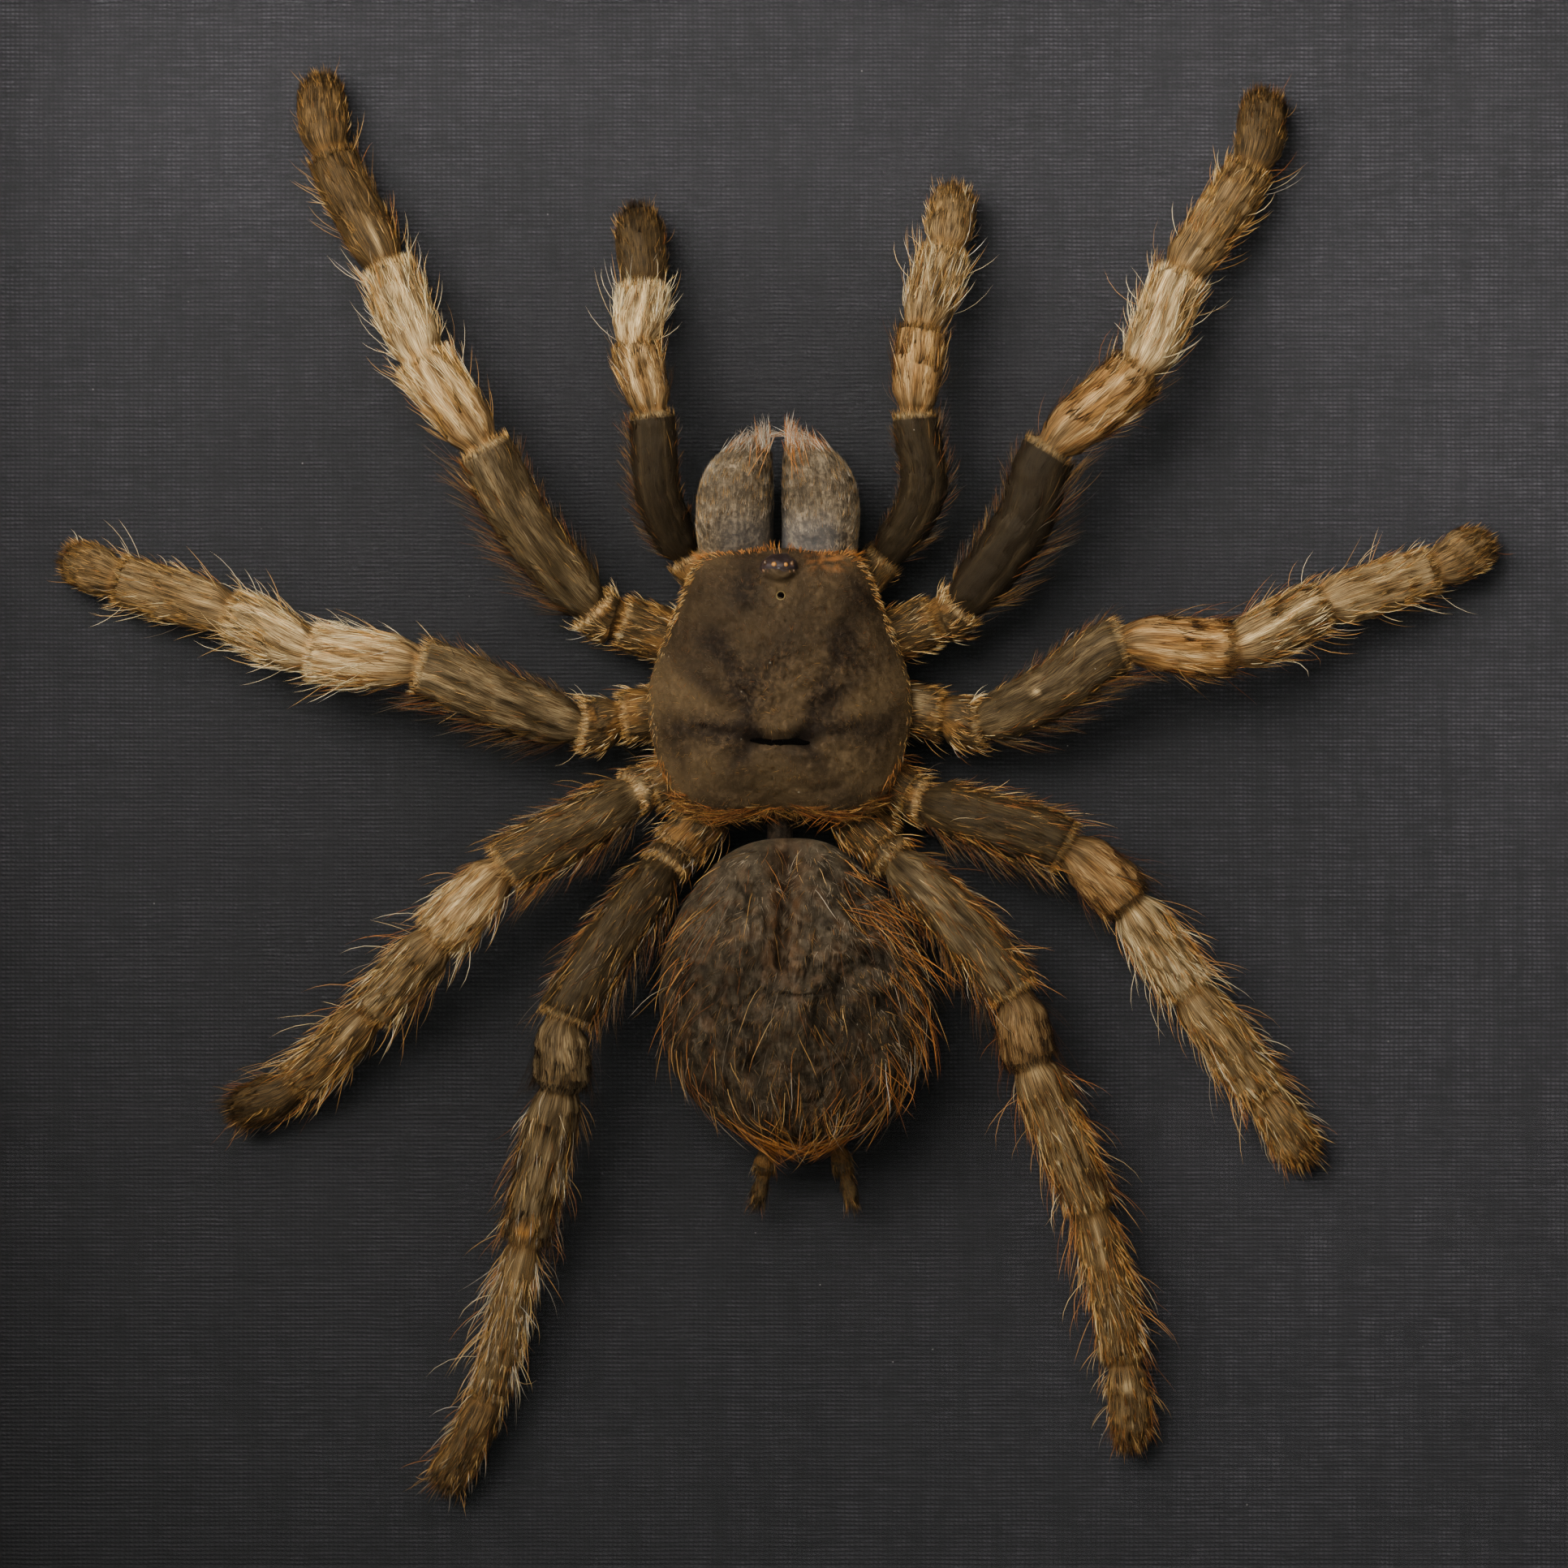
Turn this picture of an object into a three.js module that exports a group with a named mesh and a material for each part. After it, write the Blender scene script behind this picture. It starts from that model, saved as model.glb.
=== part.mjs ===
// A framed tarantula specimen: a dried spider on a linen card, under glass in a wooden box frame.
// Millimetres, +Z up, the glass faces -Y. The origin is the middle of the frame's foot, so the
// frame stands on the bottom rail's underside at z = 0.

import * as THREE from 'three';

// Driving dimensions of the frame.
const FRAME_SIZE = 200;
const RAIL_DEPTH = 45;
const RAIL_FACE = 14;
const RAIL_WALL = 8;
const LIP_THICKNESS = 4.3;
const EDGE_ROUNDING = 1.6;
const SIGHT_BEVEL = 2.4;
const BACK_TRIM_DEPTH = 2;
const GAP = 0.3;
const MITRE_GAP = 0.2;

// What lies in the frame, from the front to the back.
const GLASS_THICKNESS = 2;
const SPACER_DEPTH = 26.3;
const SPACER_WIDTH = 4.2;
const CARD_THICKNESS = 1.4;
const FOAM_THICKNESS = 3;
const PANEL_THICKNESS = 2.5;
const POINT_THICKNESS = 0.6;
const POINT_LENGTH = 10;
const POINT_WIDTH = 6;
const POINT_SPREAD = 55;

// Hanger and bumpers on the frame's back.
const HANGER_LENGTH = 45;
const HANGER_HEIGHT = 6.4;
const HANGER_THICKNESS = 0.8;
const TOOTH_COUNT = 11;
const TOOTH_DEPTH = 1.4;
const NAIL_RADIUS = 1.6;
const NAIL_SPREAD = 19.5;
const BUMPER_RADIUS = 3.2;
const BUMPER_SPREAD = 88;

const HALF = FRAME_SIZE / 2;
const FRONT = -(RAIL_DEPTH + BACK_TRIM_DEPTH) / 2;
const RAIL_BACK = FRONT + RAIL_DEPTH;
const FRAME_BACK = RAIL_BACK + BACK_TRIM_DEPTH;
const REBATE_HALF = HALF - RAIL_WALL;
const PANE_SIZE = 2 * (REBATE_HALF - GAP);
const GLASS_FRONT = FRONT + LIP_THICKNESS + GAP;
const SPACER_FRONT = GLASS_FRONT + GLASS_THICKNESS + GAP;
const CARD_FRONT = SPACER_FRONT + SPACER_DEPTH + GAP;
const FOAM_FRONT = CARD_FRONT + CARD_THICKNESS + GAP;
const PANEL_FRONT = FOAM_FRONT + FOAM_THICKNESS + GAP;
const POINT_FRONT = PANEL_FRONT + PANEL_THICKNESS + GAP;

// The spider lies on the card. Its places are measured across and up from the card's centre,
// with the head end up, and its heights are measured off the card.
const BODY_AXIS = -0.35;

// Joints of each leg, from the body outwards: hip, trochanter, femur, femur's bend, patella,
// tibia, metatarsus, tarsus and tip.
const LEG_JOINTS = {
  leg_1_left: [
    [-5.9, 11.3], [-14.1, 14.1], [-16.5, 15.3], [-22.3, 22.3], [-25.9, 29],
    [-31, 36.5], [-34.2, 44.5], [-39.1, 54.3], [-40.1, 61.2],
  ],
  leg_2_left: [
    [-6.4, 6.9], [-14.1, 5.7], [-17.8, 5.1], [-24.6, 7.4], [-31.4, 10.2],
    [-40.5, 11.4], [-47.5, 14.6], [-57.3, 17.7], [-62.2, 19.6],
  ],
  leg_3_left: [
    [-6, 2.5], [-11.6, -0.4], [-13.2, -0.9], [-18.3, -4.1], [-24.1, -7.3],
    [-29.7, -13.2], [-35.6, -19.6], [-42.2, -25.9], [-47.8, -28.4],
  ],
  leg_4_left: [
    [-5.2, -1.3], [-9.4, -5.7], [-10.4, -7.2], [-14.6, -13.2], [-18.8, -20.2],
    [-19.3, -26], [-22.3, -39.3], [-25.6, -52.9], [-29.5, -60.9],
  ],
  leg_1_right: [
    [5.2, 11.3], [12.9, 14.1], [15.3, 15.4], [20.6, 22.5], [23, 28.8],
    [30.4, 35.6], [34.2, 43.8], [40.2, 53.1], [41.6, 59.9],
  ],
  leg_2_right: [
    [5.7, 6.9], [13.6, 6], [17.1, 5.3], [23, 8.1], [29.2, 12],
    [38.4, 11.8], [46.3, 15.3], [55.9, 18.5], [61, 21.1],
  ],
  leg_3_right: [
    [5.3, 2.5], [10.8, -1], [12.3, -1.6], [17.8, -3.2], [24.3, -5.5],
    [29.5, -10.2], [34.8, -17.6], [41.4, -26.7], [45.2, -32.6],
  ],
  leg_4_right: [
    [4.5, -1.3], [8.5, -5.3], [9.6, -6.6], [14.4, -11.1], [19.7, -18.1],
    [21.3, -23.9], [26.3, -36.5], [29.3, -49.6], [30.1, -57.4],
  ],
};
const LEG_HEIGHTS = [5, 5.3, 6, 8.6, 9.4, 8.6, 5.8, 3.6, 2.3];
const LEG_HALF_WIDTHS = [1.7, 2.1, 2.1, 2.15, 2, 1.85, 1.75, 1.7];
const LEG_UNNECKED_JOINT = 3;

// Joints of each pedipalp: hip, trochanter, femur's bend, patella, tibia, tarsus and tip.
const PALP_JOINTS = {
  pedipalp_left: [
    [-3.8, 14.1], [-8.4, 19.6], [-10.8, 24.9], [-11.4, 31.9], [-12.7, 37.7],
    [-12.1, 42.8], [-12.7, 49.8],
  ],
  pedipalp_right: [
    [3.2, 14.1], [8.6, 19.5], [12, 25.3], [11.3, 31.9], [12, 39.1],
    [13.9, 45.9], [14.8, 51.5],
  ],
};
const PALP_HEIGHTS = [4.6, 4.9, 7.4, 8.2, 7, 5, 2.6];
const PALP_HALF_WIDTHS = [1.45, 1.7, 1.8, 1.75, 1.8, 1.85];
const PALP_UNNECKED_JOINT = 2;

const LIMB_SIDES = 10;
const LIMB_FLATNESS = 0.92;
const NECK = 0.82;

// The carapace: half its width at each place along the body, from the front to the rear.
const CARAPACE_HALF_WIDTHS = [
  [7, 19.7], [8.5, 15.8], [10.3, 11.6], [11.35, 7.8], [10.8, 3.2], [9.5, -1], [7.2, -2.9],
];
const CARAPACE_FRONT = 20;
const CARAPACE_NOTCH = -2.3;
const CARAPACE_CENTRE = 8;
// Rings of the carapace, from its underside to its top: part of the outline, and height.
const CARAPACE_RINGS = [
  [0, 7.7], [0.6, 7.7], [0.97, 7.8], [1, 8.3], [0.97, 9.1], [0.88, 10.4],
  [0.72, 11.7], [0.5, 12.6], [0.25, 13], [0, 13.1],
];
const EYE_MOUND = { y: 18.7, radius: 1.6, rise: 1.1 };

const STERNUM_HALF_WIDTHS = [[3, 11.8], [4.6, 9.4], [4.8, 6], [3.9, 2.6], [1.8, 0]];
const STERNUM_FRONT = 12.4;
const STERNUM_REAR = -0.6;
const STERNUM_CENTRE = 6.5;
const STERNUM_RINGS = [[0, 2.6], [0.6, 2.7], [0.95, 3.2], [1, 3.7], [0.9, 4.2], [0.6, 4.4], [0, 4.4]];

const ABDOMEN = {
  centreX: 0.75, centreY: -18.2, centreZ: 8.9, lean: 0.6, egg: 0.07,
  halfWidth: 11.4, halfLength: 13.6, rise: 7.9, drop: 7.7,
};
const ABDOMEN_SIDES = 28;
const ABDOMEN_STATIONS = 14;

const CHELICERA = {
  left: -4.1, right: 3.3, start: 20.5, middle: 25, end: 29.5,
  startHeight: 9.6, middleHeight: 9.5, endHeight: 7.4,
};
const CHELICERA_HALF_WIDTHS = [2.9, 3.2];
const FANG = { start: [27.4, 3.9], middle: [25.2, 2.6], end: [22.6, 2.5], halfWidth: 0.75, lean: 0.5 };

const PEDICEL = { radius: 1.1, start: -1, end: -5.3, height: 5.9 };

const SPINNERETS = {
  spinneret_left: [[-1.3, -30.9], [-1.7, -33.4], [-2.3, -36.4]],
  spinneret_right: [[4.5, -30.9], [5.2, -33.4], [6, -36.3]],
};
const SPINNERET_HEIGHTS = [4.4, 4, 3.6];
const SPINNERET_HALF_WIDTHS = [0.95, 0.75];

const FINISHES = {
  wood: { color: 0x3a241a, roughness: 0.45, metalness: 0 },
  glass: { color: 0xdfe8e6, roughness: 0.05, metalness: 0, transparent: true, opacity: 0.2 },
  spacer: { color: 0x2a292b, roughness: 0.9, metalness: 0 },
  linen: { color: 0x343337, roughness: 0.95, metalness: 0 },
  foam: { color: 0xe9e7e1, roughness: 0.9, metalness: 0 },
  panel: { color: 0x7a5a3c, roughness: 0.8, metalness: 0 },
  steel: { color: 0xa7a9ab, roughness: 0.35, metalness: 1 },
  brass: { color: 0xb8975a, roughness: 0.35, metalness: 1 },
  rubber: { color: 0x1c1c1d, roughness: 0.8, metalness: 0 },
  shell: { color: 0x46331f, roughness: 0.85, metalness: 0 },
  leg: { color: 0x8a6b42, roughness: 0.9, metalness: 0 },
  abdomen: { color: 0x463a2c, roughness: 0.95, metalness: 0 },
  fang: { color: 0x120c0a, roughness: 0.25, metalness: 0 },
};

const part = new THREE.Group();

function piece(name, geometry, finish, parent = part) {
  const mesh = new THREE.Mesh(geometry, new THREE.MeshStandardMaterial(FINISHES[finish]));
  mesh.name = name;
  parent.add(mesh);
  return mesh;
}

function polygon(points) {
  return new THREE.Shape(points.map(([x, y]) => new THREE.Vector2(x, y)));
}

// A flat plate in the X-Z plane, from its outline there. It reaches from y = 0 back to its thickness.
function plate(outline, thickness) {
  const geometry = new THREE.ExtrudeGeometry(outline, { depth: thickness, bevelEnabled: false });
  return geometry.rotateX(Math.PI / 2).translate(0, thickness, 0);
}

// ---- The frame ----

// Section of a rail: x runs inwards from the rail's outer face, y runs backwards.
function railSection() {
  const section = new THREE.Shape();
  const sightBevelStart = RAIL_FACE - SIGHT_BEVEL;
  section.moveTo(0, RAIL_BACK);
  section.lineTo(0, FRONT + EDGE_ROUNDING);
  section.absarc(EDGE_ROUNDING, FRONT + EDGE_ROUNDING, EDGE_ROUNDING, Math.PI, 1.5 * Math.PI, false);
  section.lineTo(sightBevelStart, FRONT);
  section.absarc(sightBevelStart, FRONT + SIGHT_BEVEL, SIGHT_BEVEL, 1.5 * Math.PI, 2 * Math.PI, false);
  section.lineTo(RAIL_FACE, FRONT + LIP_THICKNESS);
  section.lineTo(RAIL_WALL, FRONT + LIP_THICKNESS);
  section.lineTo(RAIL_WALL, RAIL_BACK);
  return section;
}

// One rail below the frame's centre, with its ends cut at 45 degrees.
function railGeometry() {
  const geometry = new THREE.ExtrudeGeometry(railSection(), { depth: 1, curveSegments: 3, bevelEnabled: false });
  const { position } = geometry.attributes;
  for (let i = 0; i < position.count; i += 1) {
    const inwards = position.getX(i);
    const end = position.getZ(i) > 0.5 ? -1 : 1;
    position.setXYZ(i, end * (HALF - inwards - MITRE_GAP), position.getY(i), inwards - HALF);
  }
  return geometry;
}

function fixingPoint() {
  const shoulder = 0.65 * POINT_LENGTH;
  const halfWidth = POINT_WIDTH / 2;
  return plate(polygon([
    [-halfWidth, 0], [halfWidth, 0], [halfWidth, shoulder], [0, POINT_LENGTH], [-halfWidth, shoulder],
  ]), POINT_THICKNESS);
}

function frameSides() {
  const sides = ['bottom', 'left', 'top', 'right'];
  sides.forEach((side, quarter) => {
    const turned = new THREE.Group();
    turned.position.z = HALF;
    turned.rotation.y = quarter * Math.PI / 2;
    part.add(turned);
    piece(`rail_${side}`, railGeometry(), 'wood', turned);

    const isLong = quarter % 2 === 0;
    const spacerLength = isLong ? PANE_SIZE : PANE_SIZE - 2 * (SPACER_WIDTH + GAP);
    const spacer = new THREE.BoxGeometry(spacerLength, SPACER_DEPTH, SPACER_WIDTH);
    piece(`spacer_${side}`, spacer, 'spacer', turned)
      .position.set(0, SPACER_FRONT + SPACER_DEPTH / 2, (SPACER_WIDTH - PANE_SIZE) / 2);

    [-1, 1].forEach((end, index) => {
      piece(`fixing_point_${2 * quarter + index + 1}`, fixingPoint(), 'steel', turned)
        .position.set(end * POINT_SPREAD, POINT_FRONT, GAP - REBATE_HALF);
    });
  });
}

function board(name, front, thickness, finish) {
  piece(name, new THREE.BoxGeometry(PANE_SIZE, thickness, PANE_SIZE), finish)
    .position.set(0, front + thickness / 2, HALF);
}

function layers() {
  board('glass', GLASS_FRONT, GLASS_THICKNESS, 'glass');
  board('linen_card', CARD_FRONT, CARD_THICKNESS, 'linen');
  board('foam_board', FOAM_FRONT, FOAM_THICKNESS, 'foam');
  board('back_panel', PANEL_FRONT, PANEL_THICKNESS, 'panel');
}

// A low dome that stands back from y = 0 by its height.
function dome(radius, height) {
  const profile = [
    [0, 0], [radius, 0], [radius, 0.35 * height], [0.85 * radius, 0.75 * height],
    [0.5 * radius, 0.95 * height], [0, height],
  ];
  return new THREE.LatheGeometry(profile.map(([r, y]) => new THREE.Vector2(r, y)), 16);
}

function hangerOutline() {
  const halfLength = HANGER_LENGTH / 2;
  const toothSpan = 0.6 * HANGER_LENGTH;
  const toothWidth = toothSpan / TOOTH_COUNT;
  const points = [[halfLength, 0], [halfLength, HANGER_HEIGHT], [-halfLength, HANGER_HEIGHT], [-halfLength, 0]];
  for (let tooth = 0; tooth < TOOTH_COUNT; tooth += 1) {
    const start = tooth * toothWidth - toothSpan / 2;
    points.push([start, 0], [start + toothWidth / 2, TOOTH_DEPTH]);
  }
  points.push([toothSpan / 2, 0]);
  return polygon(points);
}

function backTrim() {
  const trimFront = RAIL_BACK + GAP;
  const hangerBottom = FRAME_SIZE - (RAIL_WALL + HANGER_HEIGHT) / 2;
  piece('hanger', plate(hangerOutline(), HANGER_THICKNESS), 'brass').position.set(0, trimFront, hangerBottom);
  const nailFront = trimFront + HANGER_THICKNESS + GAP;
  [['left', -1], ['right', 1]].forEach(([side, sign]) => {
    piece(`hanger_nail_${side}`, dome(NAIL_RADIUS, FRAME_BACK - nailFront), 'steel')
      .position.set(sign * NAIL_SPREAD, nailFront, FRAME_SIZE - RAIL_WALL / 2);
    piece(`bumper_${side}`, dome(BUMPER_RADIUS, FRAME_BACK - trimFront), 'rubber')
      .position.set(sign * BUMPER_SPREAD, trimFront, RAIL_WALL / 2);
  });
}

// ---- The spider ----

const spider = new THREE.Group();
spider.position.set(0, CARD_FRONT, HALF);
spider.rotation.x = Math.PI / 2;

// A closed body from pole to pole. place gives the point at a turn from 0 to 1, anticlockwise as
// seen from the last pole, and at a station from 0 to stations.
function closedBody(sides, stations, place) {
  const geometry = new THREE.SphereGeometry(1, sides, stations);
  const { position, uv } = geometry.attributes;
  for (let i = 0; i < position.count; i += 1) {
    const station = Math.round(uv.getY(i) * stations);
    const point = place(uv.getX(i), station);
    position.setXYZ(i, point.x, point.y, point.z);
  }
  geometry.computeVertexNormals();
  return geometry;
}

// A body swept along a route of joints, by the half width at each station along it.
function sweptBody(route, profile, sides, flatness) {
  const up = new THREE.Vector3(0, 0, 1);
  const joints = profile[profile.length - 1].at;
  return closedBody(sides, profile.length - 1, (turn, station) => {
    const { at, half } = profile[station];
    const tangent = route.getTangent(at / joints);
    const side = new THREE.Vector3().crossVectors(up, tangent).normalize();
    const over = new THREE.Vector3().crossVectors(tangent, side);
    const angle = 2 * Math.PI * turn;
    return route.getPoint(at / joints)
      .addScaledVector(side, half * Math.cos(angle))
      .addScaledVector(over, half * flatness * Math.sin(angle));
  });
}

// Half widths along a limb: rounded ends, and a neck at each joint but the one that only bends.
function limbProfile(halfWidths, unneckedJoint) {
  const last = halfWidths.length;
  const profile = [{ at: 0, half: 0 }, { at: 0.04, half: 0.6 * halfWidths[0] }, { at: 0.2, half: halfWidths[0] }];
  for (let joint = 1; joint < last; joint += 1) {
    const neck = joint === unneckedJoint ? 1 : NECK;
    const narrow = neck * Math.min(halfWidths[joint - 1], halfWidths[joint]);
    profile.push({ at: joint - 0.16, half: halfWidths[joint - 1] });
    profile.push({ at: joint, half: narrow });
    profile.push({ at: joint + 0.16, half: halfWidths[joint] });
  }
  const tip = halfWidths[last - 1];
  profile.push({ at: last - 0.3, half: tip }, { at: last - 0.08, half: 0.65 * tip }, { at: last, half: 0 });
  return profile;
}

function limb(name, joints, heights, halfWidths, unneckedJoint) {
  const route = new THREE.CatmullRomCurve3(joints.map(([x, y], i) => new THREE.Vector3(x, y, heights[i])));
  const profile = limbProfile(halfWidths, unneckedJoint);
  piece(name, sweptBody(route, profile, LIMB_SIDES, LIMB_FLATNESS), 'leg', spider);
}

// A low body with a mirrored outline, from rings that each hold a part of it at a height.
function outlinedBody(halfWidths, front, rear, centre, rings, sides, bump) {
  const left = halfWidths.map(([half, y]) => new THREE.Vector3(BODY_AXIS - half, y, 0));
  const right = halfWidths.map(([half, y]) => new THREE.Vector3(BODY_AXIS + half, y, 0)).reverse();
  const outline = new THREE.CatmullRomCurve3([
    ...left, new THREE.Vector3(BODY_AXIS, rear, 0), ...right, new THREE.Vector3(BODY_AXIS, front, 0),
  ], true);
  const middle = new THREE.Vector3(BODY_AXIS, centre, 0);
  return closedBody(sides, rings.length - 1, (turn, station) => {
    const [share, height] = rings[station];
    const point = outline.getPoint(turn).lerp(middle, 1 - share);
    point.z = height + (station > rings.length / 2 ? bump(point) : 0);
    return point;
  });
}

function eyeMound(point) {
  const distance = Math.hypot(point.x - BODY_AXIS, point.y - EYE_MOUND.y) / EYE_MOUND.radius;
  return EYE_MOUND.rise * Math.exp(-distance * distance);
}

function frontBody() {
  piece('carapace', outlinedBody(
    CARAPACE_HALF_WIDTHS, CARAPACE_FRONT, CARAPACE_NOTCH, CARAPACE_CENTRE, CARAPACE_RINGS, 32, eyeMound,
  ), 'shell', spider);
  piece('sternum', outlinedBody(
    STERNUM_HALF_WIDTHS, STERNUM_FRONT, STERNUM_REAR, STERNUM_CENTRE, STERNUM_RINGS, 20, () => 0,
  ), 'shell', spider);
}

function cheliceraAndFang(side) {
  const x = CHELICERA[side];
  const route = new THREE.CatmullRomCurve3([
    new THREE.Vector3(x, CHELICERA.start, CHELICERA.startHeight),
    new THREE.Vector3(x, CHELICERA.middle, CHELICERA.middleHeight),
    new THREE.Vector3(x, CHELICERA.end, CHELICERA.endHeight),
  ]);
  const [base, swell] = CHELICERA_HALF_WIDTHS;
  const profile = [
    { at: 0, half: 0 }, { at: 0.04, half: 0.75 * base }, { at: 0.2, half: base }, { at: 0.6, half: swell },
    { at: 1.1, half: swell }, { at: 1.5, half: 0.94 * swell }, { at: 1.8, half: 0.72 * swell },
    { at: 1.94, half: 0.42 * swell }, { at: 2, half: 0 },
  ];
  piece(`chelicera_${side}`, sweptBody(route, profile, 14, 1), 'shell', spider);

  const inwards = Math.sign(BODY_AXIS - x) * FANG.lean;
  const fangPoints = [FANG.start, FANG.middle, FANG.end];
  const fangRoute = new THREE.CatmullRomCurve3(
    fangPoints.map(([y, z], i) => new THREE.Vector3(x + i * inwards, y, z)),
  );
  const fangProfile = [
    { at: 0, half: 0 }, { at: 0.08, half: 0.7 * FANG.halfWidth }, { at: 0.35, half: FANG.halfWidth },
    { at: 1, half: 0.75 * FANG.halfWidth }, { at: 1.6, half: 0.4 * FANG.halfWidth }, { at: 2, half: 0 },
  ];
  piece(`fang_${side}`, sweptBody(fangRoute, fangProfile, 8, 1), 'fang', spider);
}

// The abdomen is an egg whose blunt end is the rear one, and it leans a little to the right.
function abdomen() {
  const geometry = closedBody(ABDOMEN_SIDES, ABDOMEN_STATIONS, (turn, station) => {
    const along = Math.PI * station / ABDOMEN_STATIONS;
    const forward = -Math.cos(along);
    const girth = Math.sin(along) * (1 - ABDOMEN.egg * forward);
    const angle = 2 * Math.PI * turn;
    const over = Math.sin(angle) > 0 ? ABDOMEN.rise : ABDOMEN.drop;
    return new THREE.Vector3(
      ABDOMEN.centreX - ABDOMEN.lean * forward - ABDOMEN.halfWidth * girth * Math.cos(angle),
      ABDOMEN.centreY + ABDOMEN.halfLength * forward,
      ABDOMEN.centreZ + over * girth * Math.sin(angle),
    );
  });
  piece('abdomen', geometry, 'abdomen', spider);
}

function rearBody() {
  const length = PEDICEL.start - PEDICEL.end;
  piece('pedicel', new THREE.CylinderGeometry(PEDICEL.radius, PEDICEL.radius, length, 12), 'shell', spider)
    .position.set(BODY_AXIS, (PEDICEL.start + PEDICEL.end) / 2, PEDICEL.height);
  abdomen();
  Object.entries(SPINNERETS).forEach(([name, joints]) => {
    limb(name, joints, SPINNERET_HEIGHTS, SPINNERET_HALF_WIDTHS, 0);
  });
}

function limbs() {
  Object.entries(LEG_JOINTS).forEach(([name, joints]) => {
    limb(name, joints, LEG_HEIGHTS, LEG_HALF_WIDTHS, LEG_UNNECKED_JOINT);
  });
  Object.entries(PALP_JOINTS).forEach(([name, joints]) => {
    limb(name, joints, PALP_HEIGHTS, PALP_HALF_WIDTHS, PALP_UNNECKED_JOINT);
  });
}

frameSides();
layers();
backTrim();
part.add(spider);
frontBody();
cheliceraAndFang('left');
cheliceraAndFang('right');
limbs();
rearBody();

export default part;
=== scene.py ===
"""A framed tarantula specimen: its finishes, its fine skins and its hair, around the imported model."""

import math
from collections import namedtuple

import bpy
import numpy as np
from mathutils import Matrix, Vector


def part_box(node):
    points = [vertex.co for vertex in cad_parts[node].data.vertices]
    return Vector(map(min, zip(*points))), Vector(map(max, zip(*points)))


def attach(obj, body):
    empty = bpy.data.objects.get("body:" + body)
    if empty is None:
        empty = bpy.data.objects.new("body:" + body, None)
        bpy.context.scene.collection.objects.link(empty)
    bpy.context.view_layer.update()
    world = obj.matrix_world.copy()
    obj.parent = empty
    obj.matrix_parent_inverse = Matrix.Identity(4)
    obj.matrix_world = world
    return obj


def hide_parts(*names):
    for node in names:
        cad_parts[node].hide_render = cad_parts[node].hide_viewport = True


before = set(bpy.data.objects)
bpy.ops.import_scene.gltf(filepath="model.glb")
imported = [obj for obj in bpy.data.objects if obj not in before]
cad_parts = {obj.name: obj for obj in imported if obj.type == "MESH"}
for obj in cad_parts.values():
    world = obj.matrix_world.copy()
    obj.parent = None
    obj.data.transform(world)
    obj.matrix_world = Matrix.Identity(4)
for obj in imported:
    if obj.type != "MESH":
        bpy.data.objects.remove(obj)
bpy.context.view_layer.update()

BODY = "root"
MM = 0.001
rng = np.random.default_rng(20)

# The card carries the spider. Its places are millimetres across and up from the card's middle,
# and its heights are millimetres off the card's face.
CARD_LOW, CARD_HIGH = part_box("linen_card")
CARD_FACE = CARD_LOW[1]
CARD_MIDDLE = (CARD_LOW[2] + CARD_HIGH[2]) / 2
BODY_AXIS = -0.35
VIEW_WIDTH = 135.24


# ---------------- joints, as in the solid model

LEG_JOINTS = {
    "leg_1_left": ((-5.9, 11.3), (-14.1, 14.1), (-16.5, 15.3), (-22.3, 22.3), (-25.9, 29),
                   (-31, 36.5), (-34.2, 44.5), (-39.1, 54.3), (-40.1, 61.2)),
    "leg_2_left": ((-6.4, 6.9), (-14.1, 5.7), (-17.8, 5.1), (-24.6, 7.4), (-31.4, 10.2),
                   (-40.5, 11.4), (-47.5, 14.6), (-57.3, 17.7), (-62.2, 19.6)),
    "leg_3_left": ((-6, 2.5), (-11.6, -0.4), (-13.2, -0.9), (-18.3, -4.1), (-24.1, -7.3),
                   (-29.7, -13.2), (-35.6, -19.6), (-42.2, -25.9), (-47.8, -28.4)),
    "leg_4_left": ((-5.2, -1.3), (-9.4, -5.7), (-10.4, -7.2), (-14.6, -13.2), (-18.8, -20.2),
                   (-19.3, -26), (-22.3, -39.3), (-25.6, -52.9), (-29.5, -60.9)),
    "leg_1_right": ((5.2, 11.3), (12.9, 14.1), (15.3, 15.4), (20.6, 22.5), (23, 28.8),
                    (30.4, 35.6), (34.2, 43.8), (40.2, 53.1), (41.6, 59.9)),
    "leg_2_right": ((5.7, 6.9), (13.6, 6), (17.1, 5.3), (23, 8.1), (29.2, 12),
                    (38.4, 11.8), (46.3, 15.3), (55.9, 18.5), (61, 21.1)),
    "leg_3_right": ((5.3, 2.5), (10.8, -1), (12.3, -1.6), (17.8, -3.2), (24.3, -5.5),
                    (29.5, -10.2), (34.8, -17.6), (41.4, -26.7), (45.2, -32.6)),
    "leg_4_right": ((4.5, -1.3), (8.5, -5.3), (9.6, -6.6), (14.4, -11.1), (19.7, -18.1),
                    (21.3, -23.9), (26.3, -36.5), (29.3, -49.6), (30.1, -57.4)),
}
LEG_HEIGHTS = (5, 5.3, 6, 8.6, 9.4, 8.6, 5.8, 3.6, 2.3)
# A limb's segments: name, first joint, last joint, and half widths near the body and far from it.
LEG_SEGMENTS = (("coxa", 0, 1, 2.1, 2.2), ("trochanter", 1, 2, 2.2, 2.2), ("femur", 2, 4, 2.15, 2.45),
                ("patella", 4, 5, 2.05, 2.5), ("tibia", 5, 6, 2.3, 2.2), ("metatarsus", 6, 7, 2.1, 2.1),
                ("tarsus", 7, 8, 2.0, 1.95))

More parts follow.
